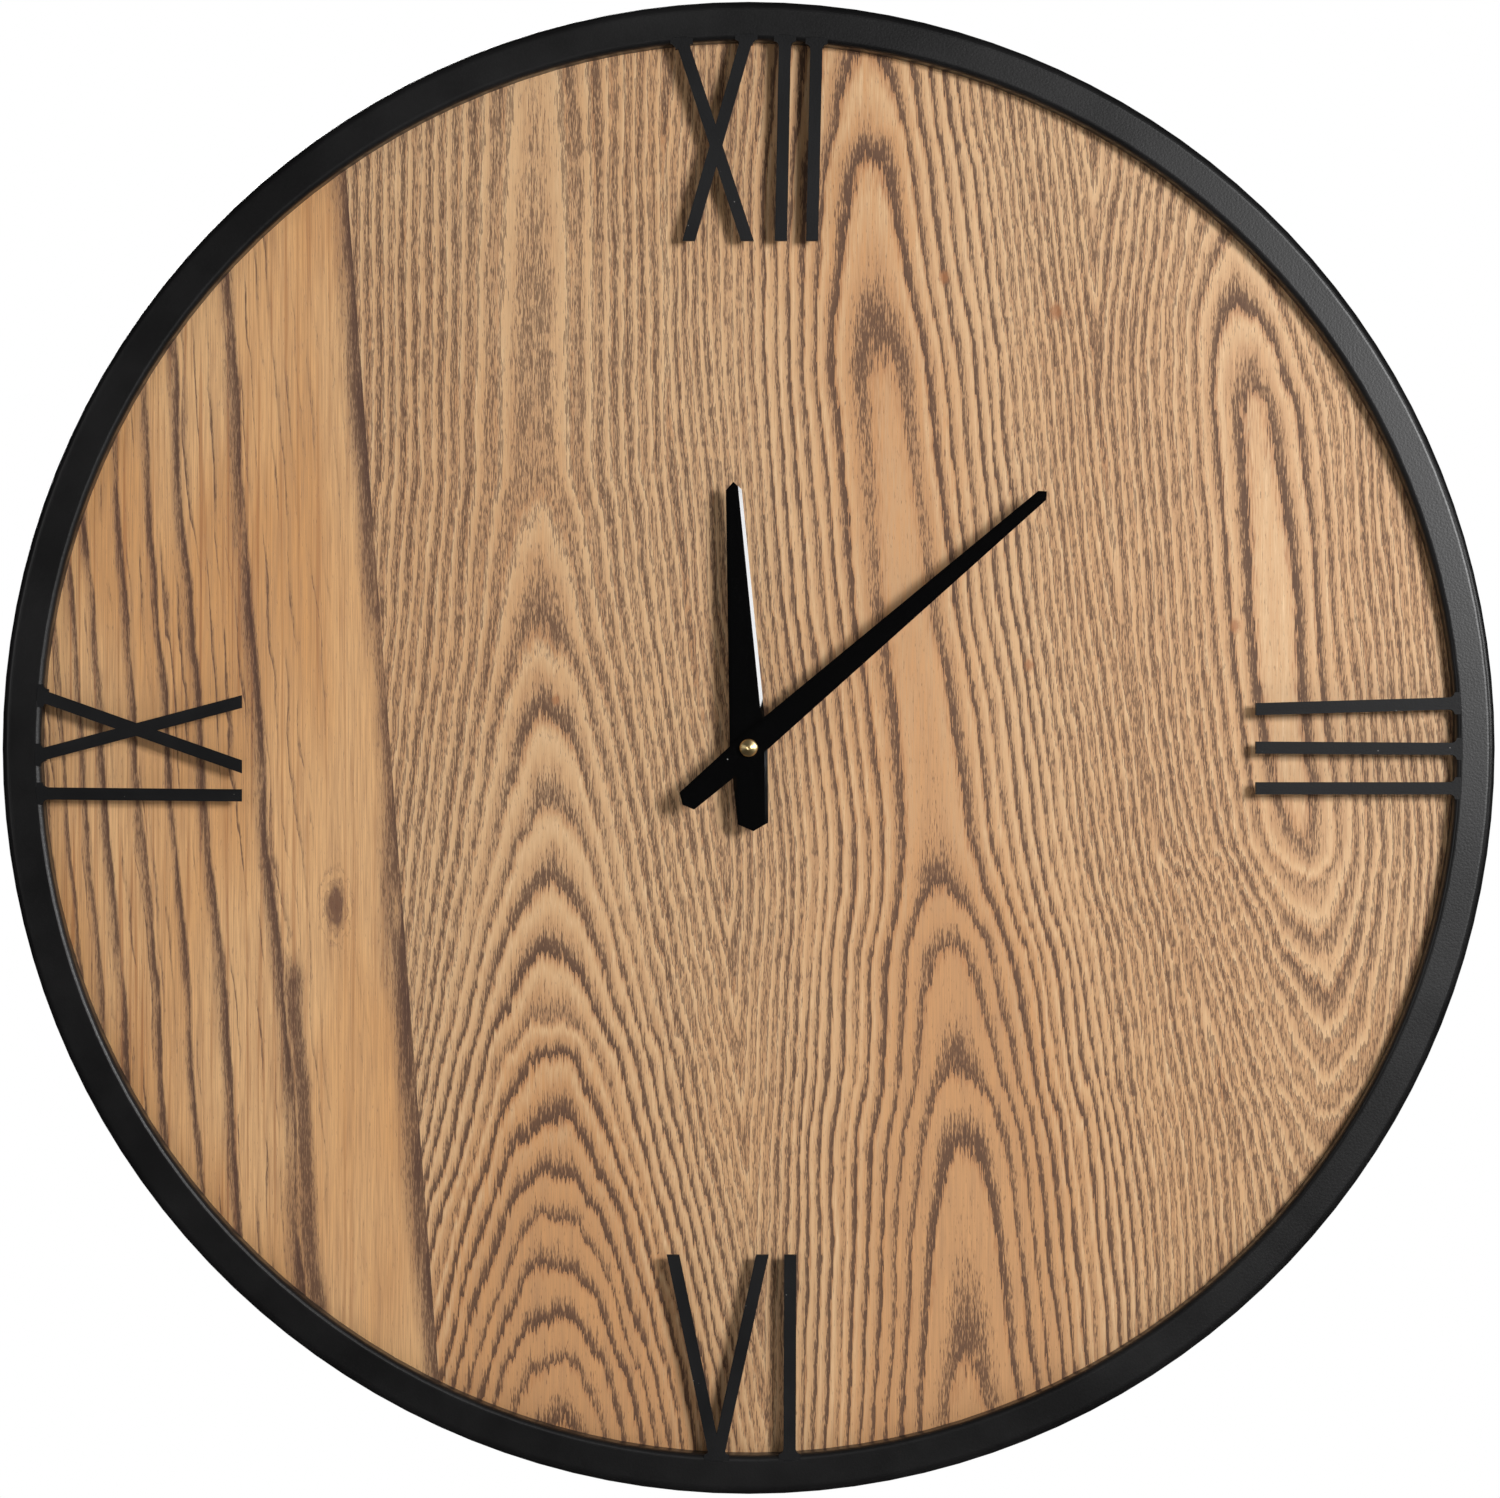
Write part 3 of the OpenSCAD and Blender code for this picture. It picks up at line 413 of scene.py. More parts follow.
def plain_veneer(name, tone):
    """Straight backing leaf, dry and unoiled."""
    f = Finish(name)
    sway = f.noise(f.x / 80.0, 1.0, f.z / 260.0, detail=2.0) - 0.5
    phase = ((f.x + sway * 22.0) / 6.5).part()
    early = f.grey(phase, [(0.0, 0.1), (0.05, 0.8), (0.4, 0.2), (1.0, 0.05)])
    pores = dashes(f, early, 0.3)
    wood = f.mix(veneer_fibre(f) * 2.0 + 0.5, tone["light"], tone["mid"])
    wood = f.mix(early * (0.25 + pores * 0.4), wood, tone["dark"])
    f.set(Base_Color=wood, Roughness=0.66 + pores * 0.1)
    return f.bump(-1.0 * pores, 0.5, PORE_DEPTH)


def board_core(name, tone):
    """Pressed fibre board, seen on its edge and in its holes."""
    f = Finish(name)
    chips = f.noise(f.x / 0.5, f.y / 0.25, f.z / 0.5, detail=3.0)
    patches = f.noise(f.x / 6.0, f.y / 2.0, f.z / 6.0, detail=2.0)
    wood = f.mix(chips.step(0.35, 0.65), tone["mid"], tone["light"])
    wood = f.mix(patches.step(0.5, 0.75) * 0.35, wood, tone["dark"])
    f.set(Base_Color=wood, Roughness=0.82)
    return f.bump(chips, 0.6, 0.0002)


def black_paint(name, colour, rough, peel, specks=0.0, sheen=0.5):
    """Sprayed black on steel: orange peel, small tone shifts, pale nicks where specks is over 0."""
    f = Finish(name)
    skin = f.noise(f.x / 0.9, f.y / 0.9, f.z / 0.9, detail=2.0)
    drift = f.noise(f.x / 40.0, f.y / 40.0, f.z / 40.0, detail=3.0)
    worn = tuple(min(1.0, c * 1.7 + 0.004) for c in colour)
    paint = f.mix(drift.step(0.3, 0.7) * 0.6, colour, worn)
    if specks:
        dust = f.cells(f.x / 3.1, f.y / 3.1, f.z / 3.1).step(0.04, 0.10, 1.0, 0.0)
        rare = f.noise(f.x / 9.0, f.y / 9.0, f.z / 9.0, detail=0.0) > 0.62
        paint = f.mix(dust * rare * specks, paint, (0.22, 0.21, 0.2))
    f.set(Base_Color=paint, Roughness=rough + (skin - 0.5) * 0.12 + (drift - 0.5) * 0.08)
    f.set(Specular_IOR_Level=sheen)
    return f.bump(skin, peel, 0.00015)


def gloss_lacquer(name, colour):
    """Deep gloss black for the hands, with the faintest dust."""
    f = Finish(name)
    haze = f.noise(f.x / 6.0, f.y / 6.0, f.z / 6.0, detail=3.0)
    dust = f.cells(f.x / 4.3, f.y / 4.3, f.z / 4.3).step(0.03, 0.07, 1.0, 0.0)
    rare = f.noise(f.x / 11.0, 4.0, f.z / 11.0, detail=0.0) > 0.66
    f.set(Base_Color=f.mix(dust * rare, colour, (0.4, 0.39, 0.37)), Roughness=0.05 + haze * 0.06)
    f.set(Specular_IOR_Level=0.45)
    return f.bump(f.noise(f.x / 2.5, f.y / 2.5, f.z / 2.5), 0.12, 0.0001)


def turned_metal(name, colour, rough, dark, turn_mm=0.35, cut=0.2, pitch=0.0):
    """Metal turned about the arbor's axis; cut is how deep the tool marks are, pitch a thread in mm."""
    f = Finish(name)
    out = (f.x * f.x + f.z * f.z).root()
    marks = f.noise(out / turn_mm, 2.0, f.y / turn_mm, detail=2.0)
    stain = f.noise(f.x / 3.0, f.y / 3.0, f.z / 3.0, detail=3.0)
    f.set(Base_Color=f.mix(stain.step(0.35, 0.8) * 0.5, colour, dark), Metallic=1.0)
    f.set(Roughness=rough + (marks - 0.5) * 0.14 + (stain - 0.5) * 0.1)
    if pitch:
        crest = f.grey((f.y / pitch).part(), [(0.0, 0.0), (0.5, 1.0), (1.0, 0.0)])
        return f.bump(crest, 1.0, 0.0004)
    return f.bump(marks, cut, 0.00008)


def plated_steel(name, colour, rough=0.34, brush=0.0):
    """Zinc or nickel plate with its crystal bloom; brush draws it out across x."""
    f = Finish(name)
    stretch = 1.0 + brush * 14.0
    bloom = f.noise(f.x / (1.6 * stretch), f.y / 1.6, f.z / 1.6, detail=4.0, rough=0.65)
    stain = f.noise(f.x / 14.0, f.y / 14.0, f.z / 14.0, detail=3.0)
    tint = f.mix(stain.step(0.4, 0.7) * 0.5, colour, (0.52, 0.47, 0.36))
    f.set(Base_Color=f.mix(bloom.step(0.3, 0.7) * 0.35, tint, (0.30, 0.31, 0.33)), Metallic=1.0)
    f.set(Roughness=rough + (bloom - 0.5) * 0.3)
    return f.bump(bloom, 0.15, 0.0001)


def moulded(name, colour, rough=0.5, grain=0.5, depth=0.00008):
    """Moulded plastic with a fine spark-eroded skin and faint flow marks."""
    f = Finish(name)
    skin = f.noise(f.x / 0.35, f.y / 0.35, f.z / 0.35, detail=2.0)
    flow = f.noise(f.x / 18.0, f.y / 18.0, f.z / 7.0, detail=3.0)
    deep = tuple(c * 0.72 for c in colour)
    f.set(Base_Color=f.mix(flow.step(0.35, 0.7) * 0.5, colour, deep))
    f.set(Roughness=rough + (skin - 0.5) * 0.16 + (flow - 0.5) * 0.1)
    return f.bump(skin, grain, depth)


def jacket(name, low_x, high_x):
    """Battery jacket: black shrink film with a copper-coloured collar and bare end rims."""
    f = Finish(name)
    share = (f.x - low_x) / (high_x - low_x)
    scuff = f.noise(f.x / 5.0, f.y / 1.2, f.z / 1.2, detail=3.0)
    skin = f.ramp(
        share,
        [(0.0, (0.62, 0.61, 0.58)), (0.018, (0.62, 0.61, 0.58)), (0.022, (0.02, 0.021, 0.024)),
         (0.70, (0.024, 0.025, 0.028)), (0.704, (0.55, 0.27, 0.10)), (0.955, (0.60, 0.31, 0.12)),
         (0.96, (0.70, 0.69, 0.66)), (1.0, (0.72, 0.71, 0.68))],
    )
    bare = f.grey(share, [(0.0, 1.0), (0.018, 1.0), (0.024, 0.0), (0.955, 0.0), (0.962, 1.0)])
    f.set(Base_Color=f.mix(scuff.step(0.55, 0.8) * 0.25, skin, (0.2, 0.19, 0.18)))
    f.set(Metallic=0.25 + bare * 0.75, Roughness=0.28 + scuff * 0.2)
    return f.bump(scuff, 0.15, 0.0001)


def solder_mask(name):
    """Green board with tracks showing faintly through the mask."""
    f = Finish(name)
    run_x = ((f.x + f.z * 0.5) / 1.3).part()
    run_z = ((f.z - f.x * 0.25) / 1.7).part()
    tracks = f.grey(run_x, [(0.0, 0.0), (0.3, 0.0), (0.34, 1.0), (0.62, 1.0), (0.66, 0.0)])
    cross = f.grey(run_z, [(0.0, 0.0), (0.6, 0.0), (0.64, 1.0), (0.86, 1.0), (0.9, 0.0)])
    copper = tracks.most(cross)
    f.set(Base_Color=f.mix(copper * 0.7, (0.018, 0.10, 0.035), (0.05, 0.24, 0.07)))
    f.set(Roughness=0.3 + f.noise(f.x, f.y, f.z) * 0.15)
    return f.bump(copper, 0.4, 0.0001)


def wound_wire(name):
    """Enamelled copper wire, turn by turn along z, darkened to painted shade in the grooves between the
    turns.
    """
    f = Finish(name)
    lay = (f.z / 0.22).part()
    crown_and_groove_shade = f.grey(lay, [(0.0, 0.0), (0.5, 1.0), (1.0, 0.0)])
    # the colour runs from copper on each turn's crown to painted shade in the grooves between turns
    f.set(Base_Color=f.mix(crown_and_groove_shade, (0.16, 0.045, 0.015), (0.72, 0.28, 0.11)), Metallic=0.8)
    f.set(Roughness=0.3 + f.noise(f.x / 2.0, f.y / 2.0, f.z / 2.0) * 0.15)
    return f.bump(crown_and_groove_shade, 1.0, 0.0002)


def give(finish, *names):
    """Puts a finish on CAD nodes."""
    for name in names:
        data = NODES[name].data
        data.materials.clear()
        data.materials.append(finish.material)


# ---------------------------------------------------------------- shapes


def turned(profile, steps=40):
    """A solid turned about the y axis from (radius, y) points in mm that start and end on the axis."""
    shape = bmesh.new()
    points = [shape.verts.new((radius * MM, along * MM, 0.0)) for radius, along in profile]
    edges = [shape.edges.new(pair) for pair in zip(points, points[1:])]
    bmesh.ops.spin(
        shape, geom=points + edges, cent=(0, 0, 0), axis=(0, 1, 0), angle=2 * math.pi, steps=steps,
        use_merge=True,
    )
    bmesh.ops.remove_doubles(shape, verts=shape.verts, dist=1e-7)
    return shape


def coil(path, wire, sides=10):
    """A wire of that radius in mm along a list of points, closed at both ends."""
    shape = bmesh.new()
    rings = []
    for i, point in enumerate(path):
        ahead = (path[min(i + 1, len(path) - 1)] - path[max(i - 1, 0)]).normalized()
        across = ahead.cross(Vector((1, 0, 0))).normalized()
        up = ahead.cross(across)
        rings.append([
            shape.verts.new((point + (across * math.cos(t) + up * math.sin(t)) * wire) * MM)
            for t in (2 * math.pi * k / sides for k in range(sides))
        ])
    for one, two in zip(rings, rings[1:]):
        for k in range(sides):
            shape.faces.new((one[k], one[(k + 1) % sides], two[(k + 1) % sides], two[k]))
    shape.faces.new(rings[0])
    shape.faces.new(reversed(rings[-1]))
    return shape


def block(shape, low, high):
    """Adds a box between two corners in mm."""
    middle = [(a + b) / 2 * MM for a, b in zip(low, high)]
    size = [(b - a) * MM for a, b in zip(low, high)]
    place = Matrix.Translation(middle) @ Matrix.Diagonal((*size, 1.0))
    bmesh.ops.create_cube(shape, size=1.0, matrix=place)
    return shape


def piece(name, shape, finish, body, slot, *stands_for):
    """Makes a piece from a shape, rides it on a body and hides the CAD nodes that it stands for."""
    bmesh.ops.recalc_face_normals(shape, faces=shape.faces)
    for face in shape.faces:
        face.smooth = True
    for edge in shape.edges:
        edge.smooth = len(edge.link_faces) == 2 and edge.calc_face_angle() < CRISP
    mesh = bpy.data.meshes.new(name)
    shape.to_mesh(mesh)
    shape.free()
    mesh.materials.append(finish.material)
    made = bpy.data.objects.new(name, mesh)
    bpy.context.scene.collection.objects.link(made)
    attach(made, body)
    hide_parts(*stands_for)
    return made


def cut(shape, tool):
    """The shape with the tool's shape taken out of it."""
    pair = []
    for name, form in (("cut_shape", shape), ("cut_tool", tool)):
        bmesh.ops.recalc_face_normals(form, faces=form.faces)
        mesh = bpy.data.meshes.new(name)
        form.to_mesh(mesh)
        form.free()
        pair.append(bpy.data.objects.new(name, mesh))
        bpy.context.scene.collection.objects.link(pair[-1])
    modifier = pair[0].modifiers.new("cut", "BOOLEAN")
    modifier.operation = "DIFFERENCE"
    modifier.object = pair[1]
    modifier.solver = "EXACT"
    result = bmesh.new()
    result.from_object(pair[0], bpy.context.evaluated_depsgraph_get())
    for each in pair:
        mesh = each.data
        bpy.data.objects.remove(each)
        bpy.data.meshes.remove(mesh)
    return result


def many(shape, places):
    """One shape holding a copy of the given one at each matrix."""
    source = bpy.data.meshes.new("one")
    shape.to_mesh(source)
    shape.free()
    total = bmesh.new()
    for place in places:
        start = len(total.verts)
        total.from_mesh(source)
        total.verts.ensure_lookup_table()
        bmesh.ops.transform(total, matrix=place, verts=total.verts[start:])
    bpy.data.meshes.remove(source)
    return total


# ---------------------------------------------------------------- settings


def colour(name, description, default):
    return bpy.props.FloatVectorProperty(
        name=name, description=description, subtype="COLOR", size=3, min=0.0, max=1.0, default=default
    )


def length(name, description, default, least=0.0):
    return bpy.props.FloatProperty(
        name=name, description=description, default=default, min=least, precision=5, unit="LENGTH"
    )


def brightness(name, description, default):
    return bpy.props.FloatProperty(name=name, description=description, default=default, min=0.0)


class CLOCK_PG_finish(bpy.types.PropertyGroup):
    """Colours of the clock's pieces."""

    leaf_light: colour("Veneer, light", "Late wood of the right leaf", from_screen(214, 173, 128))
    leaf_warm: colour("Veneer, warm", "Warm patches of the right leaf", from_screen(202, 150, 100))
    leaf_pale: colour("Veneer, pale", "Pale streaks between bands", from_screen(230, 196, 152))
    leaf_mid: colour("Veneer, mid", "Darker streaks of the right leaf", from_screen(178, 134, 94))
    leaf_dark: colour("Veneer, bands", "Early wood bands", from_screen(94, 62, 49))
    leaf_pore: colour("Veneer, pores", "Open pores", from_screen(74, 48, 36))
    leaf_rust: colour("Veneer, rust", "Thin warm line inside each band", from_screen(158, 100, 58))
    left_light: colour("Left leaf, light", "Plain wood of the left leaf", from_screen(226, 180, 128))
    left_warm: colour("Left leaf, warm", "Warm patches of the left leaf", from_screen(212, 158, 102))
    dry_light: colour("Backing, light", "Light wood of the backing leaf", from_screen(205, 172, 132))
    dry_mid: colour("Backing, mid", "Darker wood of the backing leaf", from_screen(180, 145, 105))
    dry_dark: colour("Backing, bands", "Bands of the backing leaf", from_screen(140, 104, 74))
    paint: colour("Rim paint", "Satin black on the rim", (0.0055, 0.0053, 0.0055))
    bar_paint: colour("Numeral paint", "Black on the numerals", (0.0055, 0.0055, 0.006))
    lacquer: colour("Hand lacquer", "Gloss black on the hands", (0.0015, 0.0015, 0.0016))
    nut: colour("Hand nut", "Bright brass of the hand nut", (0.93, 0.72, 0.36))
    brass: colour("Brass", "Washers, bush and the nut's stains", (0.80, 0.56, 0.22))
    strap: colour("Strap zinc", "Zinc plate on the hanger strap", (0.62, 0.62, 0.60))
    screw: colour("Screw zinc", "Zinc plate on the screws", (0.66, 0.65, 0.62))
    nickel: colour("Nickel", "Plate on both contacts", (0.72, 0.70, 0.66))
    arbor: colour("Arbor", "Turned steel of the minute arbor", (0.66, 0.67, 0.68))
    arbor_dark: colour("Arbor, stained", "Darker patches of the minute arbor", (0.35, 0.36, 0.37))
    iron: colour("Soft iron", "Coil core and stator", (0.42, 0.43, 0.44))
    magnet: colour("Magnet", "Rotor magnet", (0.20, 0.21, 0.22))
    can: colour("Can", "Metal can of the quartz", (0.78, 0.78, 0.78))
    case: colour("Case plastic", "Movement case and cover", (0.014, 0.014, 0.016))
    wheels: colour("Wheel plastic", "Moulded wheels and the bobbin", (0.80, 0.78, 0.70))
    plate: colour("Plate plastic", "Middle plate", (0.70, 0.69, 0.63))
    knob: colour("Knob plastic", "Setting knob", (0.76, 0.74, 0.66))
    seal: colour("Rubber", "Seal washer", (0.02, 0.02, 0.02))
    resin: colour("Resin", "Blob over the chip", (0.008, 0.008, 0.008))
    paint_roughness: bpy.props.FloatProperty(
        name="Paint roughness", description="How matt the rim's paint is", default=0.34, min=0.1, max=0.9
    )


class CLOCK_PG_sizes(bpy.types.PropertyGroup):
    """Sizes of the pieces that are built here."""

    screw_head: length("Screw head", "Radius of a screw's pan head", 0.0032)
    screw_shank: length("Screw shank", "Radius of a screw's shank", 0.00145)
    cell_nub: length("Cell nub", "Radius of the cell's positive end", 0.00275)
    spring_wire: length("Spring wire", "Radius of the contact spring's wire", 0.00025)


class CLOCK_PG_stage(bpy.types.PropertyGroup):
    """Camera, lights and floor."""

    camera_distance: length("Camera distance", "From the arbor to the camera", 2.0, 1.0)
    frame_margin: length("Half width shown", "Half the view's width, just behind the rim's face", 0.3066)
    key_watts: brightness("Key light", "Power of the large light on the right", 27.0)
    fill_watts: brightness("Fill light", "Power of the weak light on the left", 3.0)
    side_watts: brightness("Side strip", "Power of the tall strip that draws the bevels", 2.8)
    back_watts: brightness("Back light", "Power of the soft light behind the clock", 30.0)
    surround: brightness("Surround", "Brightness of the room's soft light", 0.13)
    floor_drop: length("Floor drop", "From the arbor down to the floor", 0.55, 0.32)


def chosen(scene, name):
    """A colour setting as a plain tuple."""
    return tuple(getattr(scene.clock_finish, name))


def in_mm(size):
    """A size setting in mm, without the noise of single precision."""
    return round(size / MM, 4)


# ---------------------------------------------------------------- operators


class CLOCK_OT_rim(bpy.types.Operator):
    """Paints the rim and the clips inside it"""

    bl_idname = "clock.rim"
    bl_label = "Rim"
    bl_options = {"REGISTER", "UNDO"}

    def execute(self, context):
        scene = context.scene
        paint = chosen(scene, "paint")
        give(black_paint("rim_paint", paint, scene.clock_finish.paint_roughness, 0.25, sheen=0.3), "rim")
        give(black_paint("clip_paint", paint, 0.5, 0.35, specks=0.5), "dial_clips")
        return {"FINISHED"}


class CLOCK_OT_numerals(bpy.types.Operator):
    """Paints the welded bars of the four numerals"""

    bl_idname = "clock.numerals"
    bl_label = "Numerals"
    bl_options = {"REGISTER", "UNDO"}

    def execute(self, context):
        bars = [n for n in NODES if n.split("_")[0] in ("twelve", "three", "six", "nine")]
        paint = chosen(context.scene, "bar_paint")
        give(black_paint("numeral_paint", paint, 0.5, 0.4, specks=0.9, sheen=0.14), *bars)
        return {"FINISHED"}


class CLOCK_OT_dial(bpy.types.Operator):
    """Lays both veneer leaves, the board and its backing leaf"""

    bl_idname = "clock.dial"
    bl_label = "Dial"
    bl_options = {"REGISTER", "UNDO"}

    def execute(self, context):
        scene = context.scene
        right = {key: chosen(scene, "leaf_" + key) for key in TONES}
        left = dict(right, light=chosen(scene, "left_light"), warm=chosen(scene, "left_warm"))
        dry = {key: chosen(scene, "dry_" + key) for key in ("light", "mid", "dark")}
        give(right_leaf("right_veneer", right), "veneer_right")
        give(left_leaf("left_veneer", left), "veneer_left")
        give(plain_veneer("back_veneer", dry), "veneer_back")
        give(board_core("board_core", dry), "dial_board")
        return {"FINISHED"}


class CLOCK_OT_hands(bpy.types.Operator):
    """Lacquers the hands with their collet and bush"""

    bl_idname = "clock.hands"
    bl_label = "Hands"
    bl_options = {"REGISTER", "UNDO"}

    def execute(self, context):
        lacquer = gloss_lacquer("hand_lacquer", chosen(context.scene, "lacquer"))
        give(lacquer, "hour_hand", "minute_hand", "hour_collet", "minute_bush")
        return {"FINISHED"}


class CLOCK_OT_brass(bpy.types.Operator):
    """Polishes the hand nut and the brass that clamps the movement"""

    bl_idname = "clock.brass"
    bl_label = "Brass"
    bl_options = {"REGISTER", "UNDO"}

    def execute(self, context):
        brass = chosen(context.scene, "brass")
        dark = tuple(c * 0.55 for c in brass)
        nut = chosen(context.scene, "nut")
        give(turned_metal("nut_brass", nut, 0.30, brass, 0.12, cut=0.9), "hand_nut")
        give(turned_metal("clamp_brass", brass, 0.26, dark), "front_washer", "hex_nut")
        give(turned_metal("thread_brass", brass, 0.28, dark, pitch=0.75), "threaded_bush")
        give(turned_metal("clutch_brass", brass, 0.30, dark), "friction_washer", "cannon_pinion")
        return {"FINISHED"}


class CLOCK_OT_steel(bpy.types.Operator):
    """Plates the hanger strap, the positive contact, the arbor and the motor's iron"""

    bl_idname = "clock.steel"
    bl_label = "Steel"
    bl_options = {"REGISTER", "UNDO"}

    def execute(self, context):
        scene = context.scene
        arbor, stained = chosen(scene, "arbor"), chosen(scene, "arbor_dark")
        give(plated_steel("zinc_strap", chosen(scene, "strap"), 0.36, brush=1.0), "hanger_strap")
        give(plated_steel("nickel_contact", chosen(scene, "nickel"), 0.22), "contact_positive")
        give(turned_metal("arbor_steel", arbor, 0.22, stained), "minute_arbor")
        give(plated_steel("soft_iron", chosen(scene, "iron"), 0.42, brush=0.5), "coil_core", "stator")
        give(plated_steel("magnet_grey", chosen(scene, "magnet"), 0.45), "rotor_magnet")
        give(plated_steel("can_metal", chosen(scene, "can"), 0.2), "quartz_can")
        return {"FINISHED"}


class CLOCK_OT_screws(bpy.types.Operator):
    """Turns the pan-head screws of the clips and the hanger, each with its cross recess"""

    bl_idname = "clock.screws"
    bl_label = "Screws"
    bl_options = {"REGISTER", "UNDO"}

    def execute(self, context):
        sizes = context.scene.clock_sizes
        head, shank = in_mm(sizes.screw_head), in_mm(sizes.screw_shank)
        zinc = plated_steel("zinc_screw", chosen(context.scene, "screw"), 0.30)

        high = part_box("clip_screws")[1]
        turns = [math.radians(360.0 / CLIPS * k + 180.0 / CLIPS) for k in range(CLIPS)]
        ring = (high.x - head * MM) / math.cos(turns[0])
        places = [(ring * math.cos(t), ring * math.sin(t), t + 0.7 * k) for k, t in enumerate(turns)]
        shape = self.screws(head, shank, places, high.y)
        piece("clip_screw_heads", shape, zinc, "clock", "zinc_steel", "clip_screws")

        low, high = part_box("hanger_screws")
        middle = (low.z + high.z) / 2
        places = [(side * (high.x - head * MM), middle, 0.4 + side * 0.5) for side in (-1, 1)]
        shape = self.screws(head, shank, places, high.y)
        piece("hanger_screw_heads", shape, zinc, "clock", "zinc_steel", "hanger_screws")
        return {"FINISHED"}

    @staticmethod
    def screws(head, shank, places, top):
        """Screws whose tops are at that y, each at (x, z, turn of its cross)."""
        under, taper, tip = -2, -7.6, -9
        screw = turned([
            (0, 0), (head * 0.40, -0.02), (head * 0.70, -0.16), (head * 0.88, -0.45), (head * 0.975, -0.85),
            (head, -1.2), (head, -1.85), (head * 0.97, under), (shank, under), (shank, taper), (0.35, tip),
            (0, tip),
        ])
        spots = [Matrix.Translation((x, top, z)) @ Matrix.Rotation(-t, 4, "Y") for x, z, t in places]
        return many(cut(screw, cross_point()), spots)


def cross_point():
    """The tip of a cross driver, to be cut into a screw head whose top is at y = 0."""
    shape = bmesh.new()
    rings = []
    for along, reach, wide in ((0.4, 1.75, 0.42), (-1.25, 1.0, 0.3)):
        ring = []
        for k in range(4):
            turn = Matrix.Rotation(-math.pi / 2 * k, 3, "Y")
            for x, z in ((wide, -wide), (reach, -wide), (reach, wide)):
                ring.append(shape.verts.new(turn @ Vector((x, along, z)) * MM))
        rings.append(ring)
    top, tip = rings
    shape.faces.new(top)
    shape.faces.new(reversed(tip))
    for k in range(len(top)):
        shape.faces.new((top[k - 1], tip[k - 1], tip[k], top[k]))
    return shape


class CLOCK_OT_battery(bpy.types.Operator):
    """Builds the cell with its film edges and the flat coil spring behind it"""

    bl_idname = "clock.battery"
    bl_label = "Cell and spring"
    bl_options = {"REGISTER", "UNDO"}

    def execute(self, context):
        sizes = context.scene.clock_sizes
        low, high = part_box("battery")
        middle = Vector((0.0, (low.y + high.y) / 2, (low.z + high.z) / 2))
        radius = (high.z - low.z) / 2 / MM
        start, end = low.x / MM, high.x / MM
        nub = in_mm(sizes.cell_nub)
        rim = end - 1.3
        cell = turned([
            (0, start + 0.25), (4.1, start + 0.25), (4.3, start), (5.4, start), (5.6, start + 0.2),
            (radius - 0.75, start + 0.2), (radius - 0.7, start + 0.05), (radius - 0.25, start + 0.05),
            (radius, start + 0.3), (radius, rim - 0.35), (radius - 0.25, rim - 0.05),
            (radius - 1.0, rim - 0.05), (radius - 1.1, rim - 0.3), (nub + 0.6, rim - 0.3), (nub + 0.1, rim),
            (nub, end - 0.25), (nub - 0.25, end), (0, end),
        ], 64)
        lay = Matrix.Translation(middle) @ Matrix.Rotation(-math.pi / 2, 4, "Z")
        bmesh.ops.transform(cell, matrix=lay, verts=cell.verts)
        piece("cell", cell, jacket("cell_jacket", start, end), "clock", "cell_jacket", "battery")

        shape = self.spring(middle / MM, start, in_mm(sizes.spring_wire))
        nickel = plated_steel("nickel_spring", chosen(context.scene, "nickel"), 0.22)
        piece("spring_contact", shape, nickel, "clock", "contact_steel", "contact_negative")
        return {"FINISHED"}

    @staticmethod
    def spring(middle, touch, wire):
        """A plate with a spring that narrows from it to the cell, whose end is at x = touch."""
        low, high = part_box("contact_negative")
        left, plate, turns, steps = low.x / MM, 0.5, 2.5, 72
        path = []
        for i in range(steps + 1):
            share = i / steps
            angle = 2 * math.pi * turns * share
            radius = 3.4 - 1.7 * share
            x = left + plate + wire + (touch - left - plate - 2 * wire) * share
            y, z = middle.y + radius * math.cos(angle), middle.z + radius * math.sin(angle)
            path.append(Vector((x, y, z)))
        return block(
            coil(path, wire), (left, low.y / MM, low.z / MM), (left + plate, high.y / MM, high.z / MM)
        )


class CLOCK_OT_movement(bpy.types.Operator):
    """Finishes the movement's case, plate, train and electric parts"""

    bl_idname = "clock.movement"
    bl_label = "Movement"
    bl_options = {"REGISTER", "UNDO"}

    def execute(self, context):
        scene = context.scene
        give(moulded("case_plastic", chosen(scene, "case"), 0.48, 0.6), "movement_case", "movement_cover")
        give(moulded("gear_plastic", chosen(scene, "wheels"), 0.36, 0.25), "motion_wheel", "third_wheel",
             "seconds_wheel", "intermediate_wheel", "hour_wheel", "centre_wheel", "rotor_pinion",
             "coil_bobbin")
        give(moulded("plate_plastic", chosen(scene, "plate"), 0.42, 0.4), "middle_plate")
        give(moulded("knob_plastic", chosen(scene, "knob"), 0.4, 0.4), "setting_knob")
        give(moulded("seal_rubber", chosen(scene, "seal"), 0.75, 0.8), "seal_washer")
        give(moulded("blob_resin", chosen(scene, "resin"), 0.2, 0.2), "chip_blob")
        give(solder_mask("circuit_green"), "circuit_board")
        give(wound_wire("copper_wire"), "coil_winding")
        return {"FINISHED"}


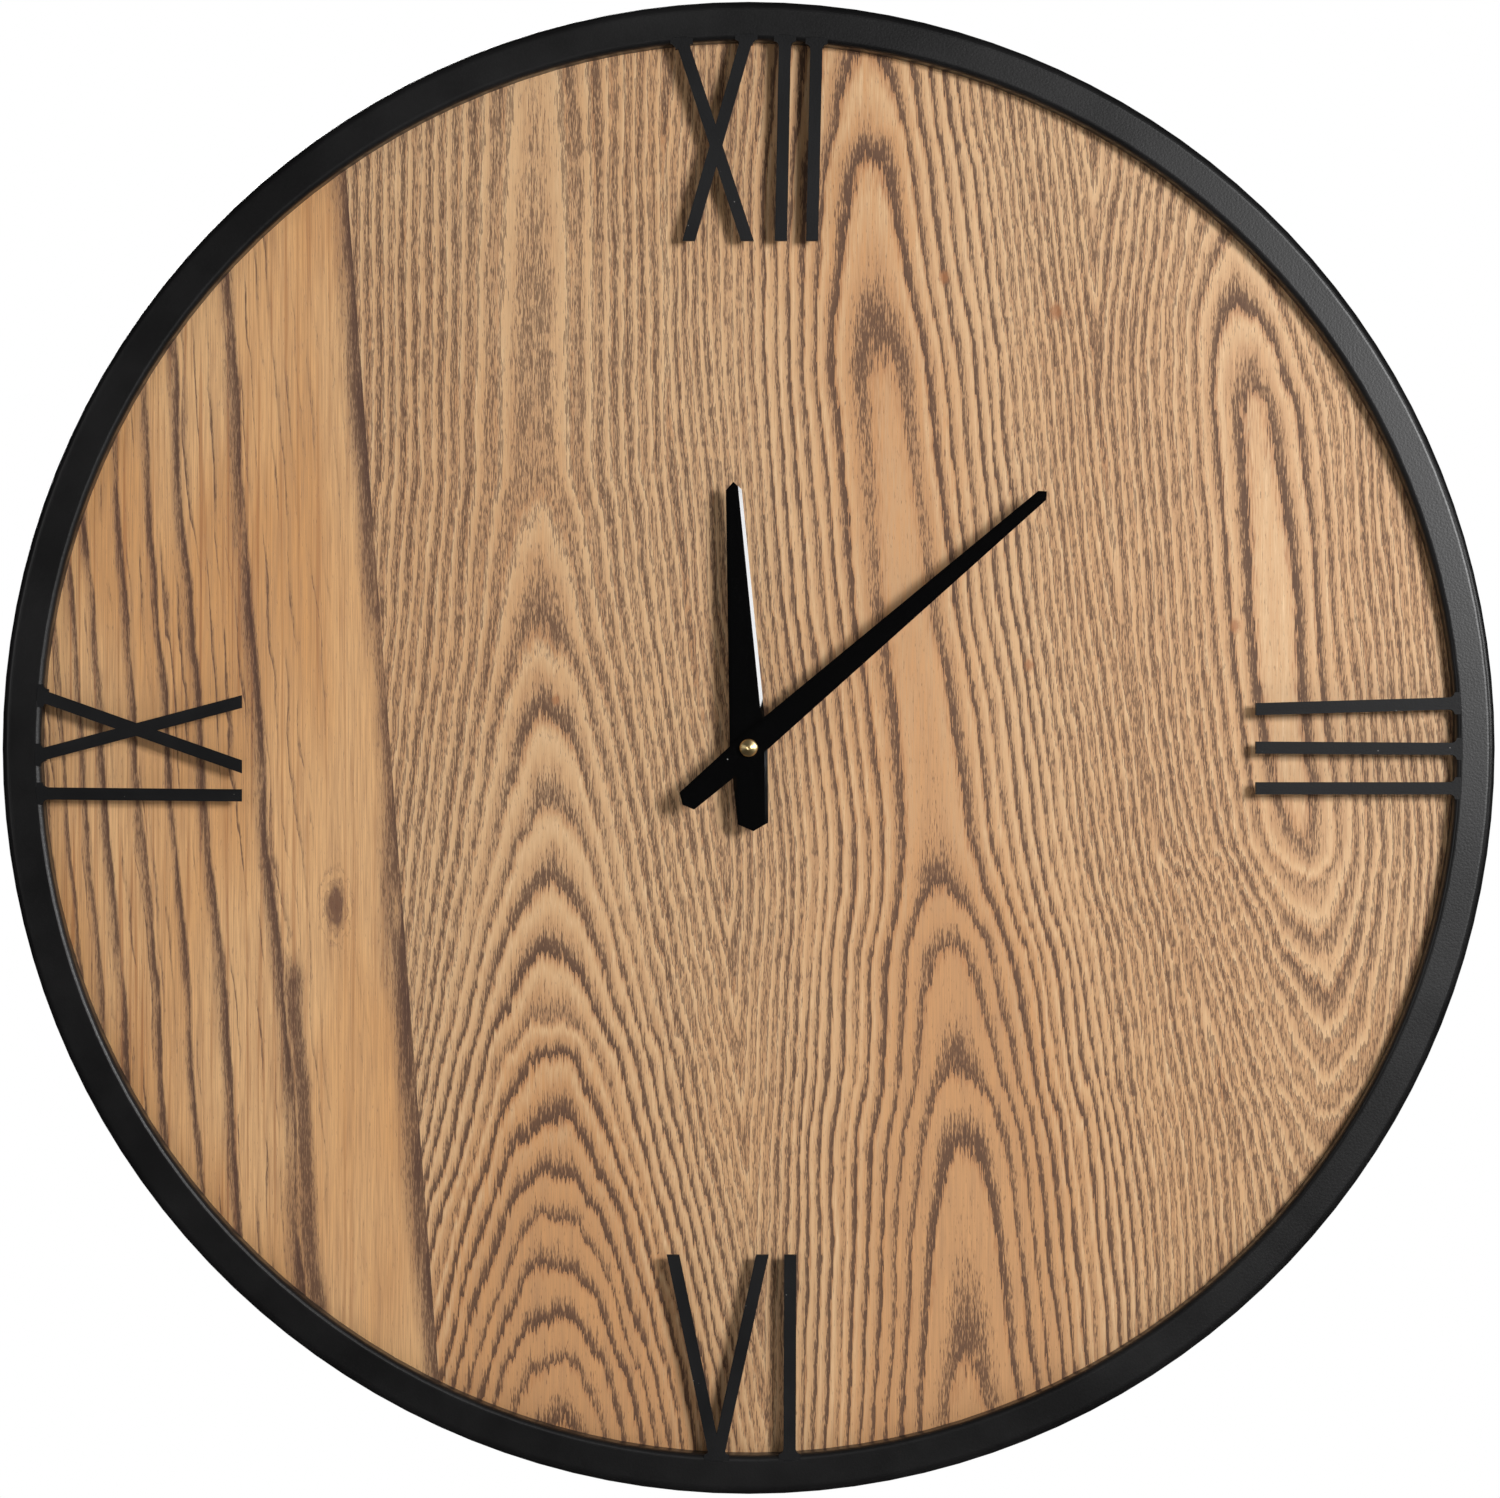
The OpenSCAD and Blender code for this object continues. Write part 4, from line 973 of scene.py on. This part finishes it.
class CLOCK_OT_stage(bpy.types.Operator):
    """Sets the camera, the soft lights, the white surround and the pale floor"""

    bl_idname = "clock.stage"
    bl_label = "Stage"
    bl_options = {"REGISTER", "UNDO"}

    def execute(self, context):
        scene = context.scene
        s = scene.clock_stage
        scene.view_settings.view_transform = "Standard"
        self.camera(scene, s)
        for name, place, size, watts, matt in LAMPS:
            self.lamp(scene, name, place, size, getattr(s, watts)).visible_diffuse = matt
        self.surround(scene, s.surround)
        self.floor(scene, s.floor_drop)
        return {"FINISHED"}

    @staticmethod
    def camera(scene, s):
        data = bpy.data.cameras.new("camera")
        camera = bpy.data.objects.new("camera", data)
        scene.collection.objects.link(camera)
        camera.location = (CAMERA_X, -s.camera_distance, CAMERA_Z)
        camera.rotation_euler = (math.pi / 2, 0.0, 0.0)
        data.sensor_width = SENSOR_MM
        data.lens = SENSOR_MM / 2 * (s.camera_distance - SCALE_PLANE) / s.frame_margin
        data.clip_start = 0.05
        scene.camera = camera

    @staticmethod
    def lamp(scene, name, place, size, watts):
        """A rectangular light that faces the arbor."""
        data = bpy.data.lights.new(name, "AREA")
        data.shape = "RECTANGLE"
        data.size, data.size_y = size
        data.energy = watts
        lamp = bpy.data.objects.new(name, data)
        lamp.location = place
        lamp.rotation_euler = (-Vector(place)).to_track_quat("-Z", "Y").to_euler()
        scene.collection.objects.link(lamp)
        return lamp

    @staticmethod
    def surround(scene, level):
        """White where the camera sees it, dim as a light, dimmer still in reflections."""
        world = bpy.data.worlds.new("surround")
        world.use_nodes = True
        scene.world = world
        tree = world.node_tree
        tree.nodes.clear()
        room = tree.nodes.new("ShaderNodeBackground")
        seen = tree.nodes.new("ShaderNodeBackground")
        for sky in (room, seen):
            sky.inputs["Color"].default_value = (1, 1, 1, 1)
        path = tree.nodes.new("ShaderNodeLightPath")
        dim = tree.nodes.new("ShaderNodeMath")
        dim.operation = "MULTIPLY_ADD"
        dim.inputs[1].default_value = (GLOSS_SHARE - 1.0) * level
        dim.inputs[2].default_value = level
        either = tree.nodes.new("ShaderNodeMixShader")
        out = tree.nodes.new("ShaderNodeOutputWorld")
        for source, target in (
            (path.outputs["Is Glossy Ray"], dim.inputs[0]),
            (dim.outputs[0], room.inputs["Strength"]),
            (path.outputs["Is Camera Ray"], either.inputs[0]),
            (room.outputs[0], either.inputs[1]),
            (seen.outputs[0], either.inputs[2]),
            (either.outputs[0], out.inputs[0]),
        ):
            tree.links.new(source, target)

    @staticmethod
    def floor(scene, drop):
        mesh = bpy.data.meshes.new("floor")
        corners = [(x * FLOOR_HALF, y * FLOOR_HALF, -drop) for x, y in ((-1, -1), (1, -1), (1, 1), (-1, 1))]
        mesh.from_pydata(corners, [], [(0, 1, 2, 3)])
        floor = bpy.data.objects.new("floor", mesh)
        scene.collection.objects.link(floor)
        f = Finish("floor_paint")
        cloud = f.noise(f.x / 300.0, f.y / 300.0, f.z / 300.0, detail=3.0)
        f.set(Base_Color=f.mix(cloud, (0.80, 0.80, 0.79), (0.84, 0.84, 0.83)), Roughness=0.7)
        mesh.materials.append(f.material)
        floor.visible_glossy = False


PIECES = (
    CLOCK_OT_rim,
    CLOCK_OT_numerals,
    CLOCK_OT_dial,
    CLOCK_OT_hands,
    CLOCK_OT_brass,
    CLOCK_OT_steel,
    CLOCK_OT_screws,
    CLOCK_OT_battery,
    CLOCK_OT_movement,
    CLOCK_OT_stage,
)


class CLOCK_PT_sidebar(bpy.types.Panel):
    """Lists the clock's pieces and settings"""

    bl_idname = "CLOCK_PT_sidebar"
    bl_label = "Wall Clock"
    bl_space_type = "VIEW_3D"
    bl_region_type = "UI"
    bl_category = "Wall Clock"

    def draw(self, context):
        for operator in PIECES:
            self.layout.operator(operator.bl_idname)
        scene = context.scene
        for settings in (scene.clock_finish, scene.clock_sizes, scene.clock_stage):
            box = self.layout.box()
            for key in settings.__annotations__:
                box.prop(settings, key)


CLASSES = (CLOCK_PG_finish, CLOCK_PG_sizes, CLOCK_PG_stage, *PIECES, CLOCK_PT_sidebar)


def register():
    for cls in CLASSES:
        bpy.utils.register_class(cls)
    bpy.types.Scene.clock_finish = bpy.props.PointerProperty(type=CLOCK_PG_finish)
    bpy.types.Scene.clock_sizes = bpy.props.PointerProperty(type=CLOCK_PG_sizes)
    bpy.types.Scene.clock_stage = bpy.props.PointerProperty(type=CLOCK_PG_stage)


def unregister():
    del bpy.types.Scene.clock_stage
    del bpy.types.Scene.clock_sizes
    del bpy.types.Scene.clock_finish
    for cls in reversed(CLASSES):
        bpy.utils.unregister_class(cls)


def main():
    register()
    for operator in PIECES:
        group, name = operator.bl_idname.split(".")
        getattr(getattr(bpy.ops, group), name)()


if __name__ == "__main__":
    main()
